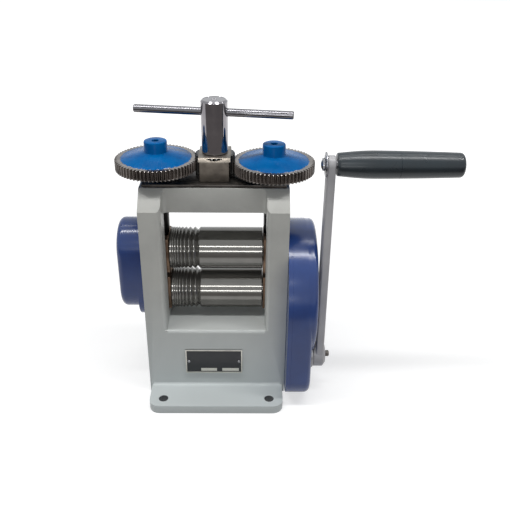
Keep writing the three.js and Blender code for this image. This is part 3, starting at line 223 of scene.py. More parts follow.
# Nameplate
BORDER = 1.4
FIELD_UP = 1.4           # over the border
FIELD_HEIGHT = 4.2
FIELDS = [("left", 0.27, 0.55), ("right", 0.645, 0.94)]    # from and to, as shares of the width

# Stage, in metres
# From here outwards in front, metal sees the floor dark: a painted reflection.
MIRRORED_DARK_FROM_Y = -0.3
FLOOR_SEEN = 0.6         # of the white background near the mill, so that its shadow shows
WORLD_PLAIN = 0.15
WORLD_COLOUR = (0.95, 0.98, 1.0, 1)
LIT_Z = 0.16
LAMPS = [                # name, elevation, distance, size, power, x
    ("tube_front", 80, 1.6, (2.4, 0.11), 25, 0.0),
    ("tube_rear", 107, 1.6, (2.4, 0.11), 6, 0.0),
    ("strip_high", 33, 2.0, (0.5, 0.17), 2.6, -0.1),
    ("strip_low", 7, 2.0, (0.5, 0.17), 2.6, -0.1),
]


# Meshes
def publish(name, bm):
    """Makes an object of a mesh written in millimetres."""
    bmesh.ops.recalc_face_normals(bm, faces=bm.faces)
    bmesh.ops.scale(bm, vec=(MM, MM, MM), verts=bm.verts)
    mesh = bpy.data.meshes.new(name)
    bm.to_mesh(mesh)
    bm.free()
    obj = bpy.data.objects.new(name, mesh)
    bpy.context.scene.collection.objects.link(obj)
    return obj


def place(points, axis, along):
    """Points of an outline set square to an axis: (y, z) for X, (x, z) for Y, (x, y) for Z."""
    if axis == "X":
        return [(along, a, b) for a, b in points]
    if axis == "Y":
        return [(a, along, b) for a, b in points]
    return [(a, b, along) for a, b in points]


def skin(name, bm, loops):
    """Closes rings of points into a solid. A ring may also be a single point."""
    for low, high in zip(loops, loops[1:]):
        count = max(len(low), len(high))
        if count == 1:
            continue
        for i in range(count):
            j = (i + 1) % count
            if len(low) == 1:
                bm.faces.new((low[0], high[j], high[i]))
            elif len(high) == 1:
                bm.faces.new((low[i], low[j], high[0]))
            else:
                bm.faces.new((low[i], low[j], high[j], high[i]))
    for end in (list(reversed(loops[0])), loops[-1]):
        if len(end) > 1:
            bm.faces.new(end)
    return publish(name, bm)


def loft(name, rings, axis):
    """A closed skin over rings (points, along), with a flat face at each end."""
    bm = bmesh.new()
    loops = []
    for points, along in rings:
        loops.append([bm.verts.new(co) for co in place(points, axis, along)])
    return skin(name, bm, loops)


def prism(name, outline, axis, low, high):
    return loft(name, [(outline, low), (outline, high)], axis)


def block(name, low, high):
    outline = [(low[0], low[1]), (high[0], low[1]), (high[0], high[1]), (low[0], high[1])]
    return prism(name, outline, "Z", low[2], high[2])


def revolve(name, profile, axis, centre, steps=FINE):
    """A solid of revolution. The profile is (radius, along), from the axis back to the axis."""
    rings = []
    for r, along in profile:
        if r < 1e-6:
            rings.append(([centre], along))
            continue
        ring = []
        for i in range(steps):
            angle = 2 * math.pi * i / steps
            ring.append((centre[0] + r * math.cos(angle), centre[1] + r * math.sin(angle)))
        rings.append((ring, along))
    return loft(name, rings, axis)


def rod(name, r, axis, low, high, centre, steps=MIDDLE):
    return revolve(name, [(0, low), (r, low), (r, high), (0, high)], axis, centre, steps)


def sweep(name, path, r, sides):
    """A tube along points, capped at both ends."""
    bm = bmesh.new()
    loops = []
    up = Vector((0, 0, 1))
    for i, point in enumerate(path):
        ahead = path[min(i + 1, len(path) - 1)]
        behind = path[max(i - 1, 0)]
        forward = (ahead - behind).normalized()
        side = forward.cross(up).normalized()
        lift = side.cross(forward)
        ring = []
        for j in range(sides):
            angle = 2 * math.pi * j / sides
            ring.append(bm.verts.new(point + r * (side * math.cos(angle) + lift * math.sin(angle))))
        loops.append(ring)
    return skin(name, bm, loops)


def settle(obj):
    """Applies an object's modifiers."""
    graph = bpy.context.evaluated_depsgraph_get()
    mesh = bpy.data.meshes.new_from_object(obj.evaluated_get(graph))
    obj.modifiers.clear()
    obj.data = mesh


def combine(target, tool, operation):
    modifier = target.modifiers.new("combine", "BOOLEAN")
    modifier.operation = operation
    modifier.solver = "EXACT"
    modifier.object = tool
    settle(target)
    bpy.data.objects.remove(tool)


def cut(target, *tools):
    for tool in tools:
        combine(target, tool, "DIFFERENCE")


def join(target, *tools):
    for tool in tools:
        combine(target, tool, "UNION")


def soften(obj, width, segments=2, above=30):
    """Rounds the edges that turn by more than an angle, in degrees."""
    modifier = obj.modifiers.new("soften", "BEVEL")
    modifier.width = width * MM
    modifier.segments = segments
    modifier.limit_method = "ANGLE"
    modifier.angle_limit = math.radians(above)
    modifier.miter_outer = "MITER_ARC"
    settle(obj)


def smooth(obj, above):
    obj.data.shade_smooth()
    obj.data.set_sharp_from_angle(angle=math.radians(above))


def arc(centre, r, start, end, steps):
    """Points of an arc, with its angles in degrees."""
    points = []
    for i in range(steps + 1):
        angle = math.radians(start + (end - start) * i / steps)
        points.append((centre[0] + r * math.cos(angle), centre[1] + r * math.sin(angle)))
    return points


def hull(circles, step=5):
    """Outline round circles (a, b, r), given anticlockwise, with a point every few degrees."""
    count = len(circles)
    leave = []
    for i, (a, b, r) in enumerate(circles):
        an, bn, rn = circles[(i + 1) % count]
        along = math.atan2(bn - b, an - a)
        lean = math.asin((r - rn) / math.hypot(an - a, bn - b))
        leave.append(math.degrees(along + lean) - 90)
    points = []
    for i, (a, b, r) in enumerate(circles):
        start = leave[i - 1]
        end = leave[i]
        while end < start:
            end += 360
        points += arc((a, b), r, start, end, max(2, round((end - start) / step)))
    return points


def stadium(low, high, r):
    return hull([(0, low, r), (0, high, r)])


def inset(circles, by):
    return [(a, b, r - by) for a, b, r in circles]


def domed(name, circles, inner_x, outer_x, rounding, steps=8):
    """A prism along X whose outer rim is rounded."""
    way = math.copysign(1, outer_x - inner_x)
    rings = [(hull(circles), inner_x)]
    for i in range(steps + 1):
        angle = math.pi / 2 * i / steps
        ring = hull(inset(circles, rounding * (1 - math.cos(angle))))
        rings.append((ring, outer_x - way * rounding * (1 - math.sin(angle))))
    return loft(name, rings, "X")


# Materials
def linear(red, green, blue):
    """A colour given as 0-255 screen values, for a shader socket."""
    def channel(value):
        share = value / 255
        return share / 12.92 if share <= 0.04045 else ((share + 0.055) / 1.055) ** 2.4
    return (channel(red), channel(green), channel(blue), 1)


def math_node(tree, operation, first, second):
    """A math node in a node tree. Each input is a number or a socket."""
    made = tree.nodes.new("ShaderNodeMath")
    made.operation = operation
    for socket, value in zip(made.inputs, (first, second)):
        if isinstance(value, (int, float)):
            socket.default_value = value
        else:
            tree.links.new(value, socket)
    return made.outputs["Value"]


def seen_by_eye(tree, strength):
    """A strength for rays that show the background: from the camera, in metal and through glass."""
    path = tree.nodes.new("ShaderNodeLightPath")
    seen = path.outputs["Is Camera Ray"]
    for kind in ("Is Glossy Ray", "Is Transmission Ray"):
        seen = math_node(tree, "MAXIMUM", seen, path.outputs[kind])
    return math_node(tree, "MULTIPLY", seen, strength)


class Surface:
    """A material on a Principled shader, with helpers for procedural detail."""

    def __init__(self, name, colour, roughness, metallic=0.0, coat=0.0, coat_roughness=0.05):
        self.material = bpy.data.materials.new(name)
        self.material.use_nodes = True
        self.tree = self.material.node_tree
        self.nodes = self.tree.nodes
        self.links = self.tree.links
        self.shader = self.nodes["Principled BSDF"]
        self.colour = linear(*colour)
        self.shader.inputs["Base Color"].default_value = self.colour
        self.shader.inputs["Roughness"].default_value = roughness
        self.shader.inputs["Metallic"].default_value = metallic
        self.shader.inputs["Coat Weight"].default_value = coat
        self.shader.inputs["Coat Roughness"].default_value = coat_roughness
        self.place = self.nodes.new("ShaderNodeTexCoord").outputs["Object"]
        self.height = None

    def node(self, kind, **values):
        made = self.nodes.new(kind)
        for key, value in values.items():
            setattr(made, key, value)
        return made

    def coordinates(self, scale):
        made = self.node("ShaderNodeMapping")
        made.inputs["Scale"].default_value = scale
        self.links.new(self.place, made.inputs["Vector"])
        return made.outputs["Vector"]

    def noise(self, scale, detail, stretch=(1, 1, 1)):
        made = self.node("ShaderNodeTexNoise")
        made.inputs["Scale"].default_value = scale
        made.inputs["Detail"].default_value = detail
        made.inputs["Roughness"].default_value = 0.55
        self.links.new(self.coordinates(stretch), made.inputs["Vector"])
        return made.outputs["Fac"]

    def spread(self, value, low, high, to_low=0.0, to_high=1.0):
        made = self.node("ShaderNodeMapRange")
        self.links.new(value, made.inputs["Value"])
        for key, number in (("From Min", low), ("From Max", high), ("To Min", to_low), ("To Max", to_high)):
            made.inputs[key].default_value = number
        return made.outputs["Result"]

    def math(self, operation, first, second):
        return math_node(self.tree, operation, first, second)

    def mix(self, share, first, second):
        made = self.node("ShaderNodeMix", data_type="RGBA")
        self.links.new(share, made.inputs["Factor"])
        for socket, value in ((made.inputs["A"], first), (made.inputs["B"], second)):
            if isinstance(value, tuple):
                socket.default_value = value
            else:
                self.links.new(value, socket)
        return made.outputs["Result"]

    def paint(self, share, other):
        """Mixes another colour over the one so far, by a share from 0 to 1."""
        self.colour = self.mix(share, self.colour, linear(*other))
        self.links.new(self.colour, self.shader.inputs["Base Color"])

    def gloss(self, scale, detail, low, high):
        """Lets the roughness wander between two values."""
        value = self.spread(self.noise(scale, detail), 0.3, 0.7, low, high)
        self.links.new(value, self.shader.inputs["Roughness"])

    def bump(self, height, depth):
        """Adds relief, depth in millimetres for a height from 0 to 1."""
        made = self.node("ShaderNodeBump")
        made.inputs["Strength"].default_value = 1.0
        made.inputs["Distance"].default_value = depth * MM
        self.links.new(height, made.inputs["Height"])
        if self.height:
            self.links.new(self.height, made.inputs["Normal"])
        self.height = made.outputs["Normal"]
        self.links.new(self.height, self.shader.inputs["Normal"])

    def radius(self, centre, axis, at=None):
        """Distance from an axis through a point in millimetres, in metres."""
        made = self.node("ShaderNodeVectorMath", operation="MULTIPLY_ADD")
        keep = {"X": (0, 1, 1), "Y": (1, 0, 1), "Z": (1, 1, 0)}[axis]
        self.links.new(at or self.place, made.inputs[0])
        made.inputs[1].default_value = keep
        made.inputs[2].default_value = [-c * MM * k for c, k in zip(centre, keep)]
        length = self.node("ShaderNodeVectorMath", operation="LENGTH")
        self.links.new(made.outputs["Vector"], length.inputs[0])
        return length.outputs["Value"]


def cast_paint(name, colour, dusty):
    """Satin enamel brushed over cast iron: soft waves, fine grain and slightly dusty patches."""
    surface = Surface(name, colour, 0.42, coat=0.12, coat_roughness=0.3)
    surface.paint(surface.spread(surface.noise(28, 4), 0.42, 0.72), dusty)
    surface.gloss(60, 3, 0.36, 0.5)
    surface.bump(surface.noise(95, 2), 0.12)
    surface.bump(surface.noise(900, 2), 0.02)
    return surface


def gloss_enamel(name, colour, deep):
    """Thick gloss enamel with a faint orange peel."""
    surface = Surface(name, colour, 0.2)
    surface.shader.inputs["Specular IOR Level"].default_value = 0.5
    surface.paint(surface.spread(surface.noise(18, 3), 0.4, 0.7), deep)
    surface.bump(surface.noise(55, 1), 0.02)
    surface.bump(surface.noise(420, 2), 0.003)
    return surface


def turned_metal(name, colour, stain, roughness, centre, axis, depth=0.002):
    """Metal turned or ground about an axis: rings too fine to see one by one, and light stains."""
    surface = Surface(name, colour, roughness, metallic=1.0)
    keep = {"X": (1, 0, 0), "Y": (0, 1, 0), "Z": (0, 0, 1)}[axis]
    rings = surface.noise(2600, 3, stretch=tuple(k + 0.004 for k in keep))
    radial = surface.node("ShaderNodeTexNoise", noise_dimensions="1D")
    radial.inputs["Scale"].default_value = 2400
    surface.links.new(surface.radius(centre, axis), radial.inputs["W"])
    surface.paint(surface.spread(surface.noise(45, 4), 0.45, 0.75), stain)
    surface.gloss(160, 4, roughness * 0.8, roughness * 1.35)
    surface.bump(surface.math("ADD", rings, radial.outputs["Fac"]), depth)
    return surface


def plain_metal(name, colour, stain, roughness, depth=0.004):
    """Milled and oiled metal: mottled stains, fine scratches."""
    surface = Surface(name, colour, roughness, metallic=1.0)
    surface.paint(surface.spread(surface.noise(70, 5), 0.42, 0.7), stain)
    surface.gloss(240, 4, roughness * 0.75, roughness * 1.3)
    surface.bump(surface.noise(700, 3, stretch=(0.12, 1, 1)), depth)
    surface.bump(surface.noise(120, 2), depth * 3)
    return surface


def grip_plastic():
    """Satin black plastic, turned and a little greasy, with a cool cast."""
    surface = Surface("grip_plastic", (24, 35, 42), 0.3)
    surface.paint(surface.spread(surface.noise(22, 3), 0.4, 0.7), (18, 24, 29))
    surface.gloss(40, 3, 0.24, 0.36)
    surface.bump(surface.noise(1500, 2, stretch=(1, 0.15, 0.15)), 0.006)
    return surface


def gear_face(name, centre):
    """Bright blue paint on the web, run out unevenly where the bare rim starts."""
    surface = plain_metal(name, (140, 134, 130), (104, 99, 96), 0.24, 0.001)
    surface.shader.inputs["Specular IOR Level"].default_value = 0.12
    surface.shader.inputs["IOR"].default_value = 1.3
    wander = surface.spread(surface.noise(240, 3), 0.3, 0.7, -0.0009, 0.0009)
    edge = surface.math("ADD", surface.radius(centre, "Z"), wander)
    painted = surface.spread(edge, (WEB_R - 0.6) * MM, (WEB_R + 0.2) * MM, 1.0, 0.0)
    worn = surface.spread(surface.noise(70, 3), 0.4, 0.72)
    blue = surface.mix(worn, linear(0, 94, 158), linear(0, 82, 144))
    surface.colour = surface.mix(painted, surface.colour, blue)
    surface.links.new(surface.colour, surface.shader.inputs["Base Color"])
    surface.links.new(surface.spread(painted, 0, 1, 1, 0), surface.shader.inputs["Metallic"])
    return surface


def shade_bench_holes(surface):
    """Painted shade: the walls of the bench holes are painted dark grey, where shade falls in them."""
    fold = surface.node("ShaderNodeVectorMath", operation="ABSOLUTE")
    surface.links.new(surface.place, fold.inputs[0])
    away = surface.radius((BENCH_HOLE_X, BENCH_HOLE_Y, 0), "Z", fold.outputs["Vector"])
    wall = BENCH_HOLE_R * MM
    surface.paint(surface.spread(away, wall, wall + 0.0004, 1, 0), (84, 88, 92))


def paint_light_near_bench(surface):
    """Painted light: the paint is lighter and a little bluer towards the bench."""
    split = surface.node("ShaderNodeSeparateXYZ")
    surface.links.new(surface.place, split.inputs["Vector"])
    surface.paint(surface.spread(split.outputs["Z"], 0.02, 0.16, 1, 0), (192, 198, 198))


FRAME_PAINT = cast_paint("frame_paint", (184, 184, 179), (174, 174, 170))
# Painted light: lighter, bluer paint towards the bench.
paint_light_near_bench(FRAME_PAINT)
# Painted shade in the bench holes.
shade_bench_holes(FRAME_PAINT)
ARM_PAINT = cast_paint("arm_paint", (172, 171, 173), (160, 159, 162))
NAVY = gloss_enamel("navy_enamel", (40, 68, 130), (34, 58, 115))
CHROME = turned_metal("chrome", (142, 139, 142), (126, 123, 127), 0.07, (0, 0, 0), "Z", 0.0001)
BAR_CHROME = turned_metal("bar_chrome", (116, 115, 118), (104, 102, 106), 0.1, (0, 0, 0), "X", 0.00002)
DARK_STEEL = plain_metal("dark_steel", (84, 80, 77), (60, 57, 55), 0.38)
BLACK_STEEL = plain_metal("black_steel", (44, 43, 43), (34, 33, 33), 0.45)
PINION_STEEL = plain_metal("pinion_steel", (78, 77, 76), (58, 57, 56), 0.22)
BLOCK_STEEL = plain_metal("block_steel", (130, 123, 114), (108, 102, 95), 0.42)
MACHINED = plain_metal("machined_steel", (140, 140, 143), (116, 115, 117), 0.28)
BRONZE = plain_metal("bronze", (124, 103, 86), (94, 78, 65), 0.38)
GRIP = grip_plastic()
PLATE_BLACK = Surface("plate_black", (26, 28, 32), 0.34)
PLATE_BLACK.bump(PLATE_BLACK.noise(900, 2), 0.008)
PLATE_BLACK.gloss(120, 3, 0.28, 0.44)
PLATE_SILVER = plain_metal("plate_silver", (196, 194, 186), (172, 170, 164), 0.36, 0.002)


def finish(obj, surface, slot, body, *nodes, sharp=32):
    """Shades a piece, gives it its material and makes it move with its body."""
    obj.data.materials.clear()
    obj.data.materials.append(surface.material)
    smooth(obj, sharp)
    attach(obj, body)
    if nodes:
        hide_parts(*nodes)


# Frame casting
def fillet_outline(side):
    """Section of the fillet between a foot flange and its wall."""
    centre = (side * (WALL_Y + FLANGE_FILLET), FLANGE_T + FLANGE_FILLET)
    curve = arc(centre, FLANGE_FILLET, 270, 180 if side > 0 else 360, 8)
    return ([(side * (WALL_Y - 1), FLANGE_T - 1), (side * (WALL_Y + FLANGE_FILLET), FLANGE_T - 1)]
            + curve + [(side * (WALL_Y - 1), FLANGE_T + FLANGE_FILLET)])


def window_outline():
    lip = WALL_Y - SILL_ROUND
    over = WALL_Y + 5
    low = SILL_Z - SILL_ROUND
    return ([(-over, low)] + arc((-lip, low), SILL_ROUND, 180, 90, 8)
            + arc((lip, low), SILL_ROUND, 90, 0, 8)
            + [(over, low), (over, BEAM_BOTTOM), (-over, BEAM_BOTTOM)])


def recess_tool(side):
    """The hollow between the pillars, in front of the beam and blended into it."""
    inner = WINDOW_HALF_X - RECESS_ROUND
    centre_y = side * (BEAM_HALF_Y + RECESS_ROUND)
    front = side * (WALL_Y + 1)
    outline = [(-WINDOW_HALF_X, front)]
    outline += arc((-inner, centre_y), RECESS_ROUND, 180, 90 if side < 0 else 270, 10)
    outline += arc((inner, centre_y), RECESS_ROUND, 90 if side < 0 else -90, 0, 10)
    outline += [(WINDOW_HALF_X, front)]
    return prism("recess", outline, "Z", BEAM_BOTTOM - 1, BEAM_TOP + 1)


def edge_tool(side, way):
    """Rounds one of the window's upright edges."""
    near = way * (WINDOW_HALF_X - 1)
    front = side * (WALL_Y + 1)
    outline = [(near, front), (near, side * (WALL_Y - WINDOW_EDGE_Y))]
    for i in range(9):
        angle = math.pi / 2 * i / 8
        outline.append((way * (WINDOW_HALF_X + WINDOW_EDGE_X * (1 - math.cos(angle))),
                        side * (WALL_Y - WINDOW_EDGE_Y * (1 - math.sin(angle)))))
    outline.append((way * (WINDOW_HALF_X + WINDOW_EDGE_X), front))
    return prism("edge", outline, "Z", SILL_Z, BEAM_TOP + 1)


def make_frame():
    half_x = frame_high.x
    casting = block("frame_casting", (-half_x, -WALL_Y, 0), (half_x, WALL_Y, BEAM_TOP))
    inner_x = FLANGE_HALF_X - FLANGE_CORNER
    inner_y = frame_high.y - FLANGE_CORNER
    foot = []
    for x, y, start in ((inner_x, inner_y, 0), (-inner_x, inner_y, 90),
                        (-inner_x, -inner_y, 180), (inner_x, -inner_y, 270)):
        foot += arc((x, y), FLANGE_CORNER, start, start + 90, 10)
    join(casting, prism("foot", foot, "Z", 0, FLANGE_T))
    cut(casting, prism("window", window_outline(), "X", -WINDOW_HALF_X, WINDOW_HALF_X))
    cut(casting, block("window_rear", (-WINDOW_REAR_X, SLOT_HALF_Y - 1, SILL_Z),
                       (WINDOW_REAR_X, WALL_Y + 1, BEAM_BOTTOM)))
    for side in (-1, 1):
        shoulder = [(side * (WALL_Y + 1), SHOULDER_Z - 1), (side * (BEAM_HALF_Y - 1), BEAM_TOP + 1),
                    (side * (WALL_Y + 1), BEAM_TOP + 1)]
        cut(casting, prism("shoulder", shoulder, "X", -half_x - 1, half_x + 1), recess_tool(side))
        cut(casting, edge_tool(side, -1), edge_tool(side, 1))
    soften(casting, EDGE_ROUND, 3)
    fillet_x = FLANGE_HALF_X - EDGE_ROUND
    for side in (-1, 1):
        join(casting, prism("fillet", fillet_outline(side), "X", -fillet_x, fillet_x))
        near, far = sorted((side * (WINDOW_HALF_X - 1), side * (half_x + 1)))
        low = corners("left_lower_chock")[0].z - 0.3
        cut(casting, block("slot", (near, -SLOT_HALF_Y, low), (far, SLOT_HALF_Y, BEAM_BOTTOM)))
        for r, start in ((NUT_R, BEAM_BOTTOM - 1), (NUT_R + NUT_RIM, BEAM_TOP - NUT_RIM_T - 0.3)):
            cut(casting, rod("nut_seat", r + 0.3, "Z", start, BEAM_TOP + 1, (side * SCREW_X, 0)))
        pocket_low, pocket_high = sorted(side * x for x in POCKET_X)
        cut(casting, block("pocket", (pocket_low, -POCKET_HALF_Y, -1),
                           (pocket_high, POCKET_HALF_Y, POCKET_TOP)))
        at = middle("left_block_screw" if side < 0 else "right_block_screw").xy
        cut(casting, rod("screw_sink", SINK_R, "Z", BEAM_BOTTOM - 1, BEAM_BOTTOM + SINK_DEPTH, at, COARSE))
        for y in (-BENCH_HOLE_Y, BENCH_HOLE_Y):
            hole = [(0, -1), (BENCH_HOLE_R, -1), (BENCH_HOLE_R, FLANGE_T - 0.7),
                    (BENCH_HOLE_R + 1.7, FLANGE_T + 1), (0, FLANGE_T + 1)]
            cut(casting, revolve("bench_hole", hole, "Z", (side * BENCH_HOLE_X, y), MIDDLE))
    recess = stadium(LOWER_Z, RIM_TOP, RIM_R - RIM_WALL)
    cut(casting, prism("gear_recess", recess, "X", -half_x - 1, -half_x + 5))
    finish(casting, FRAME_PAINT, "frame_paint", "frame", "frame")


# Rolls, chocks and springs
def roll_profile(node):
    low, high = corners(node)
    left = -ROLL_FACE / 2
    right = ROLL_FACE / 2
    soft = GROOVE_ROUND / 2
    profile = [(0, low.x), (8, low.x), (8, -91), (11, -91), (11, -79), (JOURNAL_R, -79),
               (JOURNAL_R, left), (ROLL_R - 0.8, left), (ROLL_R, left + 0.8)]
    x = left + GROOVE_START
    for size in GROOVE_SIZES:
        half = size / math.sqrt(2)
        end = x + 2 * half
        profile += [(ROLL_R, x - soft), (ROLL_R - soft, x + soft), (ROLL_R - half, x + half),
                    (ROLL_R - soft, end - soft), (ROLL_R, end + soft)]
        x = end + GROOVE_LAND
    profile += [(ROLL_R, right - 0.8), (ROLL_R - 0.8, right), (JOURNAL_R, right)]
    if node == "lower_roll":
        profile += [(JOURNAL_R, 92.2), (12, 92.2), (12, 104.2), (8, 104.2), (8, high.x), (0, high.x)]
    else:
        profile += [(JOURNAL_R, high.x), (0, high.x)]
    return profile


def make_rolls():
    for node, z in (("lower_roll", LOWER_Z), ("upper_roll", UPPER_Z)):
        surface = turned_metal(f"{node}_steel", (124, 122, 118), (114, 112, 109), 0.07,
                               (0, 0, z), "X", 0.00005)
        surface.shader.inputs["Metallic"].default_value = 0.6
        piece = revolve(f"{node}_ground", roll_profile(node), "X", (0, z), 160)
        finish(piece, surface, "roll_steel", node, node, sharp=20)


def make_chocks():
    for side, way in (("left", -1), ("right", 1)):
        for level, z in (("lower", LOWER_Z), ("upper", UPPER_Z)):
            node = f"{side}_{level}_chock"
            low, high = corners(node)
            outer = max(abs(low.x), abs(high.x))
            near, far = sorted((way * CHOCK_INNER_X, way * outer))
            bottom = low.z - (CHOCK_MORE if level == "upper" else 0)
            top = high.z + (CHOCK_MORE if level == "lower" else 0)
            chock = block(f"{node}_bronze", (near, low.y, bottom), (far, high.y, top))
            soften(chock, 0.8, 2)
            near, far = sorted((way * CHEEK_X, way * (CHOCK_INNER_X + 2)))
            cheek = block("cheek", (near, -CHEEK_HALF_Y, bottom + 0.4), (far, CHEEK_HALF_Y, top - 0.4))
            soften(cheek, 0.6, 2)
            join(chock, cheek)
            cut(chock, rod("bore", JOURNAL_R + RUN, "X", low.x - 2, high.x + 2, (0, z), FINE))
            mouth = high.z if level == "lower" else low.z
            roof = mouth + SPRING_SEAT + (SPRING_ROOM if level == "upper" else 0)
            for y in (-SPRING_Y, SPRING_Y):
                cut(chock, rod("seat", SPRING_SEAT_R, "Z", mouth - SPRING_SEAT, roof,
                               (way * SCREW_X, y), COARSE))
            body = "frame" if level == "lower" else "upper_carriage"
            finish(chock, BRONZE, "bronze", body, node)


def make_springs():
    steps = 20
    wire = SPRING_WIRE_R
    for side in ("left", "right"):
        for end in ("front", "rear"):
            node = f"{side}_{end}_spring"
            low, high = corners(node)
            centre = middle(node)
            radius = (high.x - low.x) / 2 - wire
            path = []
            for i in range(SPRING_TURNS * steps + 1):
                angle = 2 * math.pi * i / steps
                rise = (high.z - low.z - 2 * wire) * i / (SPRING_TURNS * steps)
                path.append(Vector((centre.x + radius * math.cos(angle), centre.y + radius * math.sin(angle),
                                    low.z + wire + rise)))
            coil = sweep(f"{node}_coil", path, wire, 8)
            finish(coil, MACHINED, "machined_steel", "frame", node, sharp=60)


# Covers
def make_left_cover():
    outer_x = corners("left_cover")[0].x
    cap_circles = [(0, LOWER_Z + 11.3, CAP_R), (0, UPPER_Z + 4.8, CAP_R)]
    rim_x = COVER_MOUTH_X - RIM_T
    cover = domed("left_cover_enamel", cap_circles, COVER_MOUTH_X, outer_x, CAP_ROUND)
    rim = prism("rim", stadium(LOWER_Z, RIM_TOP, RIM_R), "X", rim_x, COVER_MOUTH_X)
    soften(rim, 1.2, 3)
    join(cover, rim)
    for z in EAR_HEIGHTS:
        ear = prism("ear", hull([(EAR_Y - 11.5, z, EAR_R), (EAR_Y, z, EAR_R)]), "X",
                    COVER_MOUTH_X - EAR_T, COVER_MOUTH_X)
        soften(ear, 0.8, 2)
        join(cover, ear)
        cut(cover, rod("ear_hole", HOLE_R, "X", COVER_MOUTH_X - 9, COVER_MOUTH_X + 1, (EAR_Y, z), COARSE))
    cut(cover, prism("rim_hollow", stadium(LOWER_Z, RIM_TOP, RIM_R - RIM_WALL), "X",
                     rim_x + RIM_WALL, COVER_MOUTH_X + 1))
    cut(cover, domed("cap_hollow", inset(cap_circles, CAP_WALL), COVER_MOUTH_X + 1,
                     outer_x + CAP_WALL, CAP_ROUND - CAP_WALL))
    finish(cover, NAVY, "navy_enamel", "frame", "left_cover")


def make_gear_case():
    back = prism("case_plate_enamel", hull(CASE_CIRCLES, 3), "X", CASE_PLATE_X, CASE_MOUTH_X)
    soften(back, 0.15, 1)
    cut(back, rod("roll_hole", JOURNAL_R + 1, "X", 80, 90, (0, LOWER_Z)))
    cut(back, rod("shaft_hole", 7.5, "X", 80, 90, CRANK_AT))
    finish(back, NAVY, "navy_enamel", "frame", "gear_case_plate")

    cover = domed("right_cover_enamel", CASE_CIRCLES, CASE_MOUTH_X, CASE_OUTER_X, CASE_ROUND)
    drum_start = CASE_OUTER_X - CASE_ROUND - 1
    drum = [(0, drum_start), (CASE_DRUM_R, drum_start)]
    drum += arc((CASE_DRUM_R - CASE_DRUM_ROUND, CASE_DRUM_X - CASE_DRUM_ROUND), CASE_DRUM_ROUND, 0, 90, 8)
    drum.append((0, CASE_DRUM_X))
    join(cover, revolve("drum", drum, "X", CASE_DRUM_AT, 2 * FINE))
    cut(cover, domed("case_hollow", inset(CASE_CIRCLES, CASE_WALL), CASE_MOUTH_X - 1,
                     CASE_OUTER_X - CASE_WALL, CASE_ROUND - CASE_WALL))
    cut(cover, rod("drum_hollow", CASE_DRUM_R - CASE_WALL, "X", drum_start - 1, CASE_DRUM_X - CASE_WALL,
                   CASE_DRUM_AT, FINE))
    cut(cover, rod("boss_room", CASE_BOSS_R + 0.05, "X", CASE_OUTER_X - 8, CASE_OUTER_X + 8, CRANK_AT))
    for name in ("top", "front", "rear", "foot"):
        node = f"case_{name}_screw"
        centre = middle(node).yz
        face = corners(node)[1].x + 0.3
        join(cover, rod("post", 5, "X", CASE_MOUTH_X, face - CASE_WALL, centre, COARSE))
        cut(cover, rod("sink", SINK_R, "X", face - CASE_WALL, face + 1, centre, COARSE))
        cut(cover, rod("through", HOLE_R, "X", CASE_MOUTH_X - 1, face + 1, centre, COARSE))
    finish(cover, NAVY, "navy_enamel", "frame", "right_cover")

    foot = CASE_OUTER_X - CASE_BOSS_FOOT
    boss = [(0, foot), (CASE_BOSS_R, foot), (CASE_BOSS_R, CASE_BOSS_X - 0.8),
            (CASE_BOSS_R - 0.8, CASE_BOSS_X), (0, CASE_BOSS_X)]
    ring = revolve("case_boss_steel", boss, "X", CRANK_AT)
    cut(ring, rod("boss_bore", 11.3, "X", CASE_OUTER_X - 8, CASE_OUTER_X + 8, CRANK_AT))
    finish(ring, MACHINED, "machined_steel", "frame")


# Cap screws
def cap_screw(node, matrix):
    """A socket cap screw along +Z, its seat at the origin, set in place by a matrix."""
    low, high = corners(node)
    longest = max(high - low)
    shank = longest - HEAD_T
    profile = [(0, -shank), (SHANK_R - 0.4, -shank), (SHANK_R, -shank + 0.5), (SHANK_R, 0), (HEAD_R, 0),
               (HEAD_R, HEAD_T - 0.4), (HEAD_R - 0.4, HEAD_T), (0, HEAD_T)]
    screw = revolve(f"{node}_steel", profile, "Z", (0, 0), 32)
    cut(screw, rod("socket", SOCKET_R, "Z", 0.7, HEAD_T + 0.6, (0, 0), 6))
    screw.data.transform(matrix)
    finish(screw, DARK_STEEL, "dark_steel", "frame", node)


def make_screws():
    to_right = Matrix.Rotation(math.pi / 2, 4, "Y")
    to_left = Matrix.Rotation(-math.pi / 2, 4, "Y")
    down = Matrix.Rotation(math.pi, 4, "X")
    groups = [
        (to_left, ["left_cover_lower_screw", "left_cover_upper_screw"]),
        (to_right, ["case_plate_front_screw", "case_plate_rear_screw", "case_top_screw", "case_front_screw",
                    "case_rear_screw", "case_foot_screw"]),
        (Matrix.Identity(4), ["left_top_plate_screw", "right_top_plate_screw"]),
        (down, ["left_block_screw", "right_block_screw"]),
    ]
    for turn, nodes in groups:
        for node in nodes:
            low, high = corners(node)
            reach = max(high - low) / 2 - HEAD_T
            seat = middle(node) + turn @ Vector((0, 0, reach))
            cap_screw(node, Matrix.Translation(seat * MM) @ turn)


